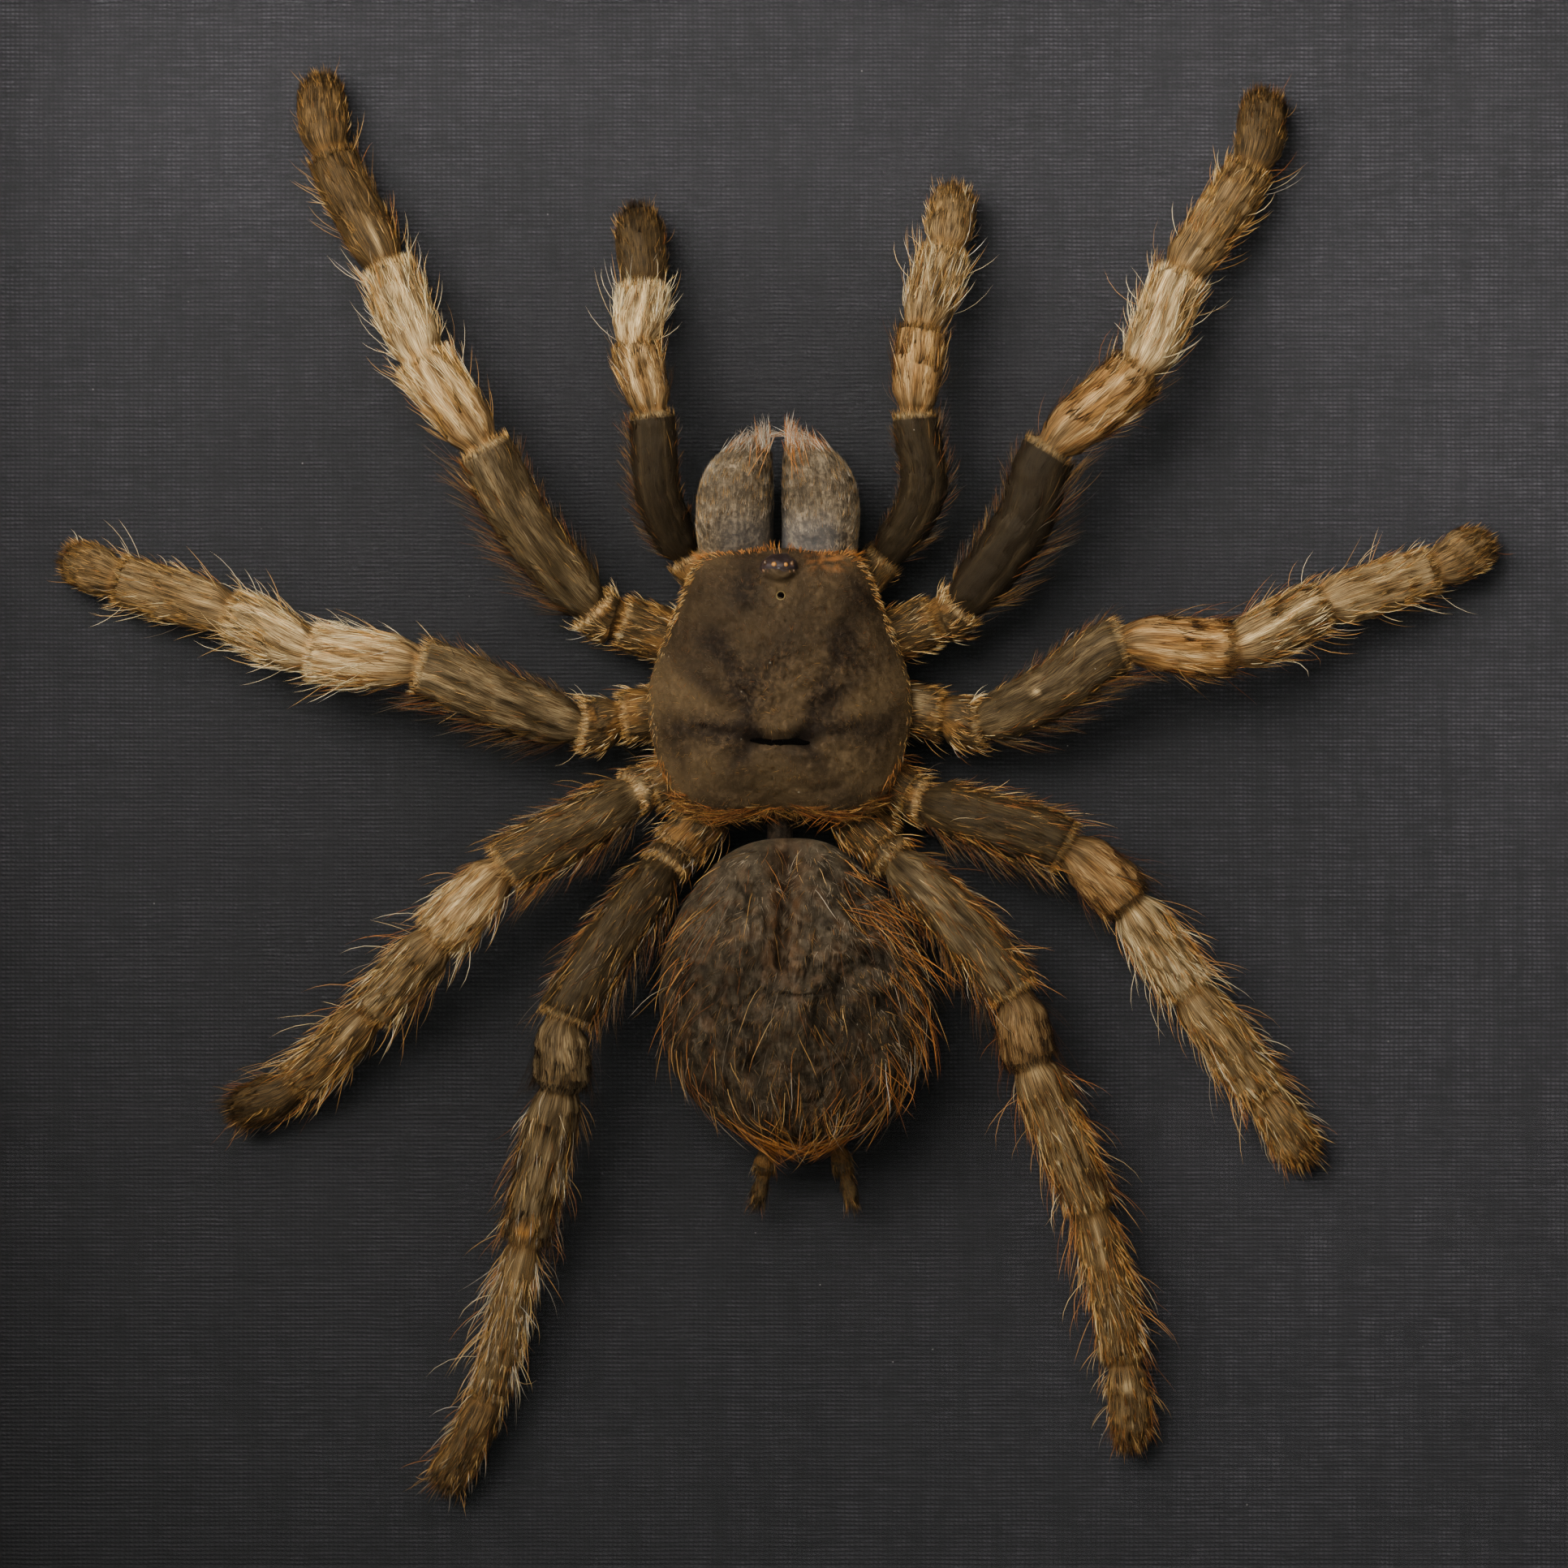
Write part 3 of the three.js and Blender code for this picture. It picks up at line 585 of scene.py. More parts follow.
def new_piece(name, points, faces, material, replaces=(), uv=None, marks=None):
    """A piece that rides on the body. faces holds arrays of faces with equal numbers of corners,
    and uv one place for every corner of them in turn."""
    mesh = bpy.data.meshes.new(name)
    corners = np.concatenate([part.ravel() for part in faces]).astype(np.int32)
    totals = np.concatenate([np.full(len(part), part.shape[1], np.int32) for part in faces])
    starts = (np.cumsum(totals) - totals).astype(np.int32)
    mesh.vertices.add(len(points))
    mesh.vertices.foreach_set("co", to_world(points).astype(np.float32).ravel())
    mesh.loops.add(len(corners))
    mesh.loops.foreach_set("vertex_index", corners)
    mesh.polygons.add(len(totals))
    mesh.polygons.foreach_set("loop_start", starts)
    mesh.polygons.foreach_set("loop_total", totals)
    mesh.polygons.foreach_set("use_smooth", np.ones(len(totals), bool))
    if uv is not None:
        layer = mesh.uv_layers.new(name="OFBake")
        layer.uv.foreach_set("vector", uv.astype(np.float32).ravel())
    if marks is not None:
        layer = mesh.color_attributes.new("marks", "FLOAT_COLOR", "POINT")
        rgba = np.concatenate([np.clip(marks, 0, 1), np.ones((len(marks), 1))], 1)
        layer.data.foreach_set("color", rgba.astype(np.float32).ravel())
    mesh.update()
    mesh.validate()
    mesh.materials.append(material)
    piece = bpy.data.objects.new(name, mesh)
    bpy.context.scene.collection.objects.link(piece)
    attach(piece, BODY)
    if replaces:
        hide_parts(*replaces)


def unit(vectors):
    return vectors / np.maximum(np.linalg.norm(vectors, axis=-1, keepdims=True), 1e-9)


def waves(points, size, seed, count=14):
    """Smooth noise about 0, of unit spread: random waves about the given size long."""
    source = np.random.default_rng(seed)
    directions = unit(source.normal(size=(count, points.shape[-1])))
    pace = 2 * math.pi / size * source.uniform(0.6, 1.6, count)
    phases = source.uniform(0, 2 * math.pi, count)
    return np.sin(points @ (directions * pace[:, None]).T + phases).sum(-1) / math.sqrt(count / 2)


def bell(distance, width):
    return np.exp(-(distance / width) ** 2)


def smooth_step(value, low, high):
    share = np.clip((value - low) / (high - low), 0, 1)
    return share * share * (3 - 2 * share)


def spot(points, x, y, radius):
    """1 at a place on the card, and 0 well beyond the radius."""
    return bell(np.hypot(points[:, 0] - x, points[:, 1] - y), radius)


def spots(points, table):
    """The sum of spots, each given by its x, y, radius and strength."""
    return sum(strength * spot(points, x, y, radius) for x, y, radius, strength in table)


def tube_faces(rings, sides):
    """Quads round a tube whose rings follow each other, and the fans that close its two ends.
    The map runs round the tube across and along it upwards."""
    ring = np.arange(rings - 1)[:, None] * np.ones(sides, int)
    side = np.arange(sides)[None, :] * np.ones((rings - 1, 1), int)
    following = (side + 1) % sides
    quads = np.stack([ring * sides + side, ring * sides + following,
                      (ring + 1) * sides + following, (ring + 1) * sides + side], -1)
    across = np.stack([side, side + 1, side + 1, side], -1) / sides
    along = np.stack([ring + 1, ring + 1, ring + 2, ring + 2], -1) / (rings + 1)
    around = np.arange(sides)
    onwards = (around + 1) % sides
    last = (rings - 1) * sides
    start = np.stack([onwards, around, np.full(sides, rings * sides)], -1)
    end = np.stack([last + around, last + onwards, np.full(sides, rings * sides + 1)], -1)
    start_across = np.stack([around + 1, around, around + 0.5], -1) / sides
    end_across = np.stack([around, around + 1, around + 0.5], -1) / sides
    start_along = np.tile((1, 1, 0), (sides, 1)) / (rings + 1)
    end_along = np.tile((rings, rings, rings + 1), (sides, 1)) / (rings + 1)
    uv = np.stack([
        np.concatenate([across.ravel(), start_across.ravel(), end_across.ravel()]),
        np.concatenate([along.ravel(), start_along.ravel(), end_along.ravel()])], -1)
    return [quads.reshape(-1, 4), np.concatenate([start, end])], uv


# ---------------- limbs

class Limb:
    """A limb along its joints. t counts joints, and turn goes once round with 0.25 on top."""

    def __init__(self, name, joints, heights, segments, widths=1.0):
        self.name = name
        self.points = np.array([(x, y, z) for (x, y), z in zip(joints, heights)], float)
        self.last = len(joints) - 1
        names, starts, ends, near, far = zip(*segments)
        self.names = np.array(names)
        self.starts = np.array(starts, float)
        self.ends = np.array(ends, float)
        self.near_widths = np.array(near) * widths
        self.far_widths = np.array(far) * widths
        self.fine = np.linspace(0, self.last, 60 * self.last + 1)
        steps = np.linalg.norm(np.diff(self.centre(self.fine), axis=0), axis=1)
        self.lengths = np.concatenate([[0], np.cumsum(steps)])
        self.length = self.lengths[-1]

    def centre(self, t):
        """Catmull-Rom through the joints."""
        points = np.concatenate([[2 * self.points[0] - self.points[1]], self.points,
                                 [2 * self.points[-1] - self.points[-2]]])
        index = np.clip(np.floor(t).astype(int), 0, self.last - 1)
        share = (t - index)[:, None]
        a, b, c, d = (points[index + k] for k in range(4))
        return 0.5 * (2 * b + (c - a) * share + (2 * a - 5 * b + 4 * c - d) * share ** 2
                      + (3 * b - a - 3 * c + d) * share ** 3)

    def at_length(self, length):
        return np.interp(length, self.lengths, self.fine)

    def travelled(self, t):
        return np.interp(t, self.fine, self.lengths)

    def axes(self, t):
        step = 0.05
        onwards = self.centre(np.minimum(t + step, self.last))
        forward = unit(onwards - self.centre(np.maximum(t - step, 0)))
        side = unit(np.cross((0.0, 0.0, 1.0), forward))
        return forward, side, np.cross(forward, side)

    def joint_distances(self, t):
        """For each t: its segment's number, and how far the segment's two joints are."""
        number = np.minimum(np.searchsorted(self.ends, t, side="right"), len(self.ends) - 1)
        here = self.travelled(t)
        start, end = self.travelled(self.starts[number]), self.travelled(self.ends[number])
        return number, here - start, end - here

    def half_width(self, t, turn):
        number, behind, ahead = self.joint_distances(t)
        share = behind / np.maximum(behind + ahead, 1e-6)
        half = self.near_widths[number] * (1 - share) + self.far_widths[number] * share
        is_last = number == len(self.ends) - 1
        half = half * (1 - 0.26 * bell(behind, 1.1)) * (1 + 0.07 * np.sin(math.pi * share))
        half = half * np.where(is_last, 1, 1 - 0.34 * bell(ahead, 0.22))
        half = half * (1 - 0.12 * bell(behind, 0.3))
        fold = bell(np.abs(turn - 0.25) - 0.075, 0.03) * np.sin(math.pi * share)
        half = half * (1 - 0.05 * fold)
        here = self.travelled(t)
        tip = np.clip((self.length - here) / (1.25 * self.far_widths[-1]), 0, 1)
        start = np.clip(here / (0.8 * self.near_widths[0]), 0, 1)
        return half * np.sqrt(1 - (1 - tip) ** 2) * np.sqrt(1 - (1 - start) ** 2)

    def surface(self, t, turn):
        """Points on the skin, their outward directions and the way along the limb."""
        forward, side, over = self.axes(t)
        angle = (2 * math.pi * turn)[:, None]
        outward = side * np.cos(angle) + over * np.sin(angle)
        half = self.half_width(t, turn)[:, None]
        points = self.centre(t) + half * (side * np.cos(angle) + 0.92 * over * np.sin(angle))
        rough = 0.06 * waves(points, 2.2, 5) + 0.03 * waves(points, 0.8, 6)
        return points + outward * rough[:, None], outward, forward


def locks(limb, t, turn, size, seed):
    """Smooth noise drawn out along the limb, as hair lies in locks."""
    angle = 2 * math.pi * turn
    places = np.stack([limb.travelled(t) * 0.17, 2.3 * np.cos(angle), 2.3 * np.sin(angle)], -1)
    return waves(places, size, seed)


# The pale stripes: their half width and their strength. They run a share of a turn to each side
# of the top, on the patella they close in a loop, and on a dark patella they fade.
STRIPES = {"patella": (0.018, 0.8), "tibia": (0.017, 1.0), "metatarsus": (0.013, 0.4),
           "femur": (0.010, 0.04)}
PATELLA_SPREAD = 0.07
FEMUR_SPREAD = 0.09


def stripes(limb, t, turn, look):
    """How much of a pale stripe a place is on."""
    number, behind, ahead = limb.joint_distances(t)
    names = limb.names[number]
    share = behind / np.maximum(behind + ahead, 1e-6)
    loop = np.sqrt(np.sin(math.pi * np.clip(share * 0.92 + 0.06, 0, 1)))
    wander = 0.012 * locks(limb, t, turn * 0, 2.0, 35)
    off_top = turn - 0.25 - look.roll + wander
    lines = {"patella": (-PATELLA_SPREAD * loop, PATELLA_SPREAD * loop), "tibia": look.tibia_lines,
             "metatarsus": (0.02,), "femur": (-FEMUR_SPREAD, FEMUR_SPREAD)}
    total = np.zeros(len(t))
    for name, (width, strength) in STRIPES.items():
        line = np.zeros(len(t))
        for place in lines[name]:
            line = line + bell(off_top - place, width * (0.8 + 0.5 * np.sin(math.pi * share)))
        fade = 1 - smooth_step(share, 0.2, 0.5) if name == "metatarsus" else 1.0
        total = np.where(names == name, strength * line * fade, total)
    darkened = np.clip(-2 * (shade_at(names, look) + 0.35), 0, 0.85) * (names == "patella")
    total = total * (1 - darkened)
    return np.clip(total * smooth_step(behind, 0.3, 1.2), 0, 1)


def shade_at(names, look):
    """How much paler or darker a limb's places are, by the names of their segments."""
    return sum((names == name) * shade for name, shade in zip(SHADED, look.shades))


# How pale the skin is between the stripes, by segment.
UNDERTONE = {"patella": 0.12, "tibia": 0.09, "metatarsus": 0.0, "tarsus": 0.0}


def limb_skin(limb, look, mesh):
    """A limb's closed skin, with its sides closest together on top."""
    stations, sides = mesh
    t = np.linspace(0, limb.last, stations + 2)[1:-1]
    grid_t = np.repeat(t, sides)
    around = np.arange(sides) / sides
    crowded = around - 0.5 * np.sin(2 * math.pi * (around - 0.25)) / (2 * math.pi)
    grid_turn = np.tile(crowded, stations)
    points, _, _ = limb.surface(grid_t, grid_turn)
    number, behind, ahead = limb.joint_distances(grid_t)
    names = limb.names[number]
    is_last = number == len(limb.ends) - 1
    is_femur = names == "femur"
    near_body = np.isin(names, ("coxa", "trochanter"))
    rim = bell(ahead - 0.2, 0.13) * ~is_last * (0.22 + 0.12 * is_femur + 0.1 * near_body)
    neck = bell(behind, 0.5) * (0.55 + 0.3 * near_body) + look.gilt * (names == "patella")
    shade = shade_at(names, look)
    # The patella's near end, where it sits in the femur's cuff, is darker: partly its own colour and
    # partly painted shade.
    root_end = (names == "patella") * (1 - smooth_step(behind / (behind + ahead), 0.0, 0.45))
    fold = near_body * smooth_step(waves(points, 2.4, 17), 0.3, 1.0) * 0.8
    under = sum((names == name) * share for name, share in UNDERTONE.items())
    under = (under + np.maximum(shade, 0)) * (1 + 0.7 * locks(limb, grid_t, grid_turn, 1.1, 36))
    pale = np.maximum.reduce([stripes(limb, grid_t, grid_turn, look), rim, np.clip(under, 0, 0.7)])
    pale = pale * (1 - 0.6 * root_end) * (1 - 0.4 * look.gilt * (names == "patella"))
    dark = is_femur * 0.9 + near_body * 0.6
    pace = np.select([names == "patella", is_femur], [1.6, 0.22], 3.0)
    dark = dark - pace * np.minimum(shade + 0.2 * (names == "patella"), 0)
    dark = dark + root_end * (0.5 + 0.3 * locks(limb, grid_t, grid_turn, 0.8, 37))
    dark = np.clip(dark, 0, np.where(is_femur, 1.0, 0.88))
    marks = np.stack([pale, dark * (1 - pale), np.maximum(neck, fold)], 1)
    for x, y, radius, channel, strength in look.blemishes:
        blemish = strength * spot(points, x, y, radius)
        marks = marks * (1 - blemish[:, None])
        marks[:, channel] = np.maximum(marks[:, channel], blemish)
    ends = limb.centre(np.array([0.0, float(limb.last)]))
    points = np.concatenate([points, ends])
    marks = np.concatenate([marks, marks[[0, -1]]])
    faces, uv = tube_faces(stations, sides)
    new_piece(limb.name + "_skin", points, faces, LIMB_SKIN,
              replaces=(limb.name,), uv=uv, marks=marks)


# ---------------- hair

# A rule is a function that draws a value for each of a number of strands.

def even(low, high):
    return lambda number: rng.uniform(low, high, number)


def about(middle, spread, low=-math.inf, high=math.inf):
    return lambda number: np.clip(rng.normal(middle, spread, number), low, high)


def times(factor, rule):
    return lambda number: factor * rule(number)


def either(chance, first, otherwise):
    """A rule that is first at a chance, and otherwise another family or rule."""
    return lambda number: np.where(rng.uniform(size=number) < chance, first, values_of(otherwise, number))


def mixed_family(straw, ash, rust):
    return lambda number: rng.choice((STRAW, ASH, RUST), number, p=(straw, ash, rust))


def values_of(value, number):
    """The values that a rule draws for a number of strands, or one value or a row as it is."""
    return value(number) if callable(value) else np.broadcast_to(value, number)


def level(flat):
    """Directions on the card as directions in space."""
    return np.concatenate([flat, np.zeros((len(flat), 1))], 1)


def strand_faces(steps):
    """The triangles of a three-sided strand, whose last point is its tip."""
    triangles = [(2, 1, 0)]
    for step in range(steps - 1):
        for corner in range(3):
            a = 3 * step + corner
            b = 3 * step + (corner + 1) % 3
            triangles += [(a, b, b + 3), (a, b + 3, a + 3)]
    top = 3 * (steps - 1)
    for corner in range(3):
        triangles.append((top + corner, top + (corner + 1) % 3, 3 * steps))
    return np.array(triangles)


# How deep a strand starts in the skin, and how near the card it may come.
ROOT_DEPTH = 0.08
LOWEST_HAIR = 0.12


class Coat:
    """Strands gathered from several plantings into one closed mesh."""

    def __init__(self):
        self.points = []
        self.faces = []
        self.uv = []
        self.count = 0

    def plant(self, root, outward, forward, steps, length, half, lift, fall, yaw, curl, tone, family,
              wave=0.0, keep=slice(None)):
        """Strands from root, which leave the skin at lift and end at fall, turned by yaw to
        yaw + curl about it, in degrees. Each is a three-sided tube of the given steps that ends in
        a point. Their values are rules or rows, drawn in this order, and keep picks who stands."""
        rules = (length, half, lift, fall, yaw, curl, tone, family)
        values = [values_of(rule, len(root))[keep] for rule in rules]
        length, half, lift, fall, yaw, curl, tone, family = values
        outward = np.broadcast_to(outward, root.shape)[keep]
        forward = np.broadcast_to(forward, root.shape)[keep]
        root = root[keep]
        number = len(root)
        if number == 0:
            return
        forward = unit(forward - outward * (forward * outward).sum(-1, keepdims=True))
        side = np.cross(outward, forward)
        place = root - outward * ROOT_DEPTH
        phase = rng.uniform(0, 2 * math.pi, number)
        rings = []
        for step in range(steps):
            share = (step + 0.5) / steps
            rise = np.radians(lift + (fall - lift) * share)[:, None]
            swing = (np.radians(yaw + curl * share) + wave * np.sin(phase + 7.0 * share))[:, None]
            heading = (np.cos(rise) * (np.cos(swing) * forward + np.sin(swing) * side)
                       + np.sin(rise) * outward)
            first = unit(side - heading * (side * heading).sum(-1, keepdims=True))
            second = np.cross(heading, first)
            radius = (half * (1 - 0.6 * (step / steps) ** 1.5))[:, None]
            for corner in range(3):
                angle = math.pi / 2 + corner * 2 * math.pi / 3
                rings.append(place + radius * (math.cos(angle) * first + math.sin(angle) * second))
            place = place + heading * (length / steps)[:, None]
        rings.append(place)
        points = np.stack(rings, 1)
        points[..., 2] = np.maximum(points[..., 2], LOWEST_HAIR)
        per_strand = 3 * steps + 1
        base = self.count + np.arange(number)[:, None] * per_strand
        pattern = strand_faces(steps)
        self.faces.append((base[:, None] + pattern[None]).reshape(-1, 3))
        across = np.append(np.tile((-0.003, 0.0, 0.003), steps), 0.0)
        upwards = np.append(np.repeat(np.arange(steps) / steps, 3), 1.0)
        upwards[1] += 0.03
        uv = np.empty((number, per_strand, 2))
        uv[..., 0] = np.clip(tone, 0.004, 0.996)[:, None] + across
        uv[..., 1] = (family[:, None] + 0.02 + 0.96 * upwards) / 3
        self.uv.append(uv[:, pattern.ravel()].reshape(-1, 2))
        self.points.append(points.reshape(-1, 3))
        self.count += number * per_strand

    def finish(self, name):
        new_piece(name, np.concatenate(self.points), [np.concatenate(self.faces)], HAIR,
                  uv=np.concatenate(self.uv))


Fur = namedtuple("Fur", "rate length lift tone spread")
Layer = namedtuple("Layer", "steps half sideways stray bend")
# A coat's four layers: the down, the combed hair over it, the wisps along the two sides and the
# long bristles. Each has its steps, half thickness, whether it keeps to the sides, and how many
# degrees its strands stray and bend.
LAYERS = (Layer(1, 0.025, False, 7, 0), Layer(2, 0.027, False, 7, 10), Layer(3, 0.020, True, 13, 18),
          Layer(4, 0.022, True, 16, 24))
# Each layer's strands a millimetre, their length, their lift off the skin, their tone and how much
# the tone spreads.
FRONT_COAT = {
    "coxa": (Fur(110, 0.9, 16, 0.38, 0.18), Fur(22, 1.5, 20, 0.58, 0.18),
             Fur(7, 1.5, 30, 0.62, 0.16), Fur(1.5, 2.2, 40, 0.70, 0.12)),
    "trochanter": (Fur(100, 1.0, 20, 0.42, 0.16), Fur(22, 1.6, 28, 0.62, 0.16),
                   Fur(8, 1.7, 36, 0.74, 0.12), Fur(2, 2.4, 44, 0.75, 0.1)),
    "femur": (Fur(85, 0.9, 5, 0.23, 0.11), Fur(8, 1.6, 6, 0.36, 0.13),
              Fur(3, 1.6, 20, 0.42, 0.14), Fur(0.7, 2.4, 30, 0.55, 0.12)),
    "patella": (Fur(115, 1.6, 6, 0.58, 0.22), Fur(38, 3.2, 7, 0.78, 0.18),
                Fur(11, 2.4, 24, 0.66, 0.16), Fur(2.2, 3.6, 42, 0.70, 0.14)),
    "tibia": (Fur(135, 1.4, 8, 0.50, 0.24), Fur(36, 2.6, 9, 0.73, 0.20),
              Fur(10, 2.2, 28, 0.76, 0.12), Fur(3, 3.8, 44, 0.78, 0.1)),
    "metatarsus": (Fur(200, 1.1, 8, 0.32, 0.13), Fur(18, 1.8, 9, 0.43, 0.15),
                   Fur(8, 1.8, 26, 0.56, 0.13), Fur(2.4, 3.4, 42, 0.66, 0.1)),
    "tarsus": (Fur(255, 0.75, 12, 0.33, 0.14), Fur(18, 1.0, 18, 0.48, 0.14),
               Fur(9, 1.0, 34, 0.58, 0.13), Fur(0.8, 1.9, 44, 0.64, 0.1)),
}
HIND_COAT = {
    "coxa": (Fur(110, 0.9, 16, 0.44, 0.20), Fur(20, 1.6, 20, 0.62, 0.18),
             Fur(8, 2.0, 34, 0.68, 0.13), Fur(2, 2.8, 44, 0.72, 0.1)),
    "trochanter": (Fur(100, 1.0, 20, 0.46, 0.16), Fur(20, 1.8, 26, 0.64, 0.15),
                   Fur(8, 1.9, 34, 0.70, 0.13), Fur(2, 2.6, 44, 0.72, 0.1)),
    "femur": (Fur(110, 1.1, 8, 0.40, 0.14), Fur(18, 2.2, 9, 0.54, 0.15),
              Fur(7, 2.4, 22, 0.62, 0.14), Fur(2, 3.6, 34, 0.68, 0.12)),
    "patella": (Fur(105, 1.6, 7, 0.60, 0.18), Fur(30, 3.0, 8, 0.70, 0.16),
                Fur(11, 2.6, 24, 0.70, 0.14), Fur(3, 4.0, 38, 0.72, 0.12)),
    "tibia": (Fur(120, 1.3, 9, 0.57, 0.18), Fur(24, 2.4, 10, 0.66, 0.15),
              Fur(13, 2.7, 26, 0.72, 0.13), Fur(4, 4.4, 38, 0.76, 0.1)),
    "metatarsus": (Fur(140, 1.2, 9, 0.57, 0.18), Fur(24, 2.2, 10, 0.68, 0.16),
                   Fur(12, 2.5, 26, 0.70, 0.13), Fur(4, 4.2, 38, 0.74, 0.1)),
    "tarsus": (Fur(190, 0.9, 14, 0.44, 0.14), Fur(16, 1.5, 18, 0.54, 0.14),
               Fur(9, 1.8, 30, 0.62, 0.13), Fur(2.4, 2.6, 44, 0.68, 0.1)),
}
PALP_COAT = dict(
    FRONT_COAT,
    coxa=(Fur(80, 0.8, 14, 0.30, 0.13), Fur(10, 1.2, 20, 0.44, 0.16),
          Fur(3, 1.4, 30, 0.5, 0.14), Fur(1, 1.8, 40, 0.6, 0.12)),
    tarsus=(Fur(255, 0.75, 10, 0.30, 0.15), Fur(18, 1.0, 14, 0.46, 0.15),
            Fur(12, 1.1, 26, 0.62, 0.12), Fur(1, 1.8, 40, 0.64, 0.1)))
BRISTLY = (Fur(150, 0.8, 12, 0.26, 0.12), Fur(24, 1.2, 16, 0.36, 0.14),
           Fur(9, 1.2, 24, 0.42, 0.14), Fur(1, 1.6, 34, 0.5, 0.1))
SPINNERET_COAT = {"coxa": BRISTLY, "tarsus": BRISTLY}


CUFF_TONE = 0.66
CUFF_STRANDS = 90
# The fringe under a femur: strands a millimetre, and the longest on a leg and on a palp.
FRINGE_RATE = 18
LEG_FRINGE = 5.2
PALP_FRINGE = 2.8
# How much paler or darker whole locks of a segment's hair are than each other.
LOCK_SHARE = {"coxa": 0.15, "trochanter": 0.15, "femur": 0.05, "patella": 0.24, "tibia": 0.24,
              "metatarsus": 0.12, "tarsus": 0.09}


def standing(limb, look, layer, number, low, high):
    """Where a layer's strands stand between two lengths, off the stripes and the blemishes: their t,
    their turn and how much of a stripe they are on."""
    t = limb.at_length(rng.uniform(low, high, number))
    if layer.sideways:
        turn = 0.25 + rng.choice((-1, 1), number) * rng.normal(0.2, 0.06, number)
    else:
        turn = 0.25 + (rng.beta(1.7, 1.7, number) - 0.5) * 0.9
    on_stripe = stripes(limb, t, turn, look)
    bare = 0.88 * on_stripe
    for x, y, radius, _, strength in look.blemishes:
        bare = np.maximum(bare, 1.1 * strength * spot(limb.surface(t, turn)[0], x, y, radius))
    keep = rng.uniform(size=number) > bare
    return t[keep], turn[keep], on_stripe[keep]


def grow_layer(coat, limb, look, name, layer, fur, low, high):
    """One layer of a segment's coat, in locks and paler on its stripes."""
    t, turn, on_stripe = standing(limb, look, layer, int(fur.rate * (high - low)), low, high)
    number = len(t)
    root, outward, forward = limb.surface(t, turn)
    _, behind, ahead = limb.joint_distances(t)
    lock = locks(limb, t, turn, 0.7, 31)
    length = fur.length * rng.uniform(0.6, 1.35, number)
    if name != "tarsus" and not layer.sideways:
        length = np.minimum(length, ahead * 0.9 + 0.5)
    lift = np.maximum(fur.lift * (1 + 0.3 * lock) + rng.normal(0, 0.25 * fur.lift, number), 2)
    fall = lift * 0.25 + rng.normal(0, layer.stray * 0.5, number)
    yaw = 7 * lock + rng.normal(0, layer.stray, number)
    curl = rng.normal(0, layer.bend, number)
    tone = fur.tone + shade_at(name, look) + LOCK_SHARE[name] * lock + 0.05 * waves(root, 4.5, 33)
    tone = tone + rng.normal(0, fur.spread, number) + 0.2 * on_stripe
    darker = 0.05 if name in ("metatarsus", "tarsus") else 0.16
    tone = tone - 0.22 * (rng.uniform(size=number) < darker)
    tone = tone - 0.12 * bell(behind, 1.2) * (name not in ("coxa", "trochanter"))
    # The patella's near end, where it sits in the femur's cuff, is darker: partly its own colour and
    # partly painted shade.
    root_end = (name == "patella") * (1 - smooth_step(behind / (behind + ahead), 0.0, 0.5))
    tone = tone - (0.18 + 0.12 * look.gilt) * root_end
    gilt = look.gilt * (0.15 + 0.4 * root_end) * (name == "patella")
    rust = look.rust * (0.7 + 0.3 * layer.steps) + gilt
    family = np.where(rng.uniform(size=number) < rust, RUST, STRAW)
    family = np.where(rng.uniform(size=number) < look.ash, ASH, family)
    coat.plant(root, outward, forward, layer.steps, length=length,
               half=times(layer.half, even(0.75, 1.3)), lift=lift, fall=fall, yaw=yaw, curl=curl,
               tone=np.clip(tone, 0.03, 0.97), family=family)


def grow_cuff(coat, limb, look, name, high, tone):
    """A ring of short hair at a segment's far end."""
    t = limb.at_length(high - rng.uniform(0.05, 0.6, CUFF_STRANDS))
    turn = 0.25 + rng.uniform(-0.4, 0.4, CUFF_STRANDS)
    root, outward, forward = limb.surface(t, turn)
    tone = tone + 0.6 * shade_at(name, look) + rng.normal(0, 0.12, CUFF_STRANDS)
    coat.plant(root, outward, forward, 1, length=even(0.5, 1.1), half=0.024, lift=even(4, 24),
               fall=about(0, 6), yaw=about(0, 12), curl=0, tone=np.clip(tone, 0.05, 0.95), family=STRAW)


def grow_fringe(coat, limb, look, low, high, longest):
    """The dark fringe under a femur, with a shorter and thinner one on its other side."""
    number = int(FRINGE_RATE * (high - low))
    t = limb.at_length(rng.uniform(low, high - 1, number))
    other_side = rng.uniform(size=number) < 0.35
    turn = np.where(other_side, 0.5 - look.fringe, look.fringe) + rng.normal(0, 0.07, number)
    root, outward, forward = limb.surface(t, turn)
    reach = np.where(other_side, 0.5, 1.0) * longest
    coat.plant(root, outward, forward, 4, length=times(reach, even(0.4, 1.0)), half=0.028,
               lift=even(22, 48), fall=even(5, 40), yaw=about(0, 10), curl=about(0, 22),
               tone=even(0.12, 0.52), family=mixed_family(0.4, 0.32, 0.28))


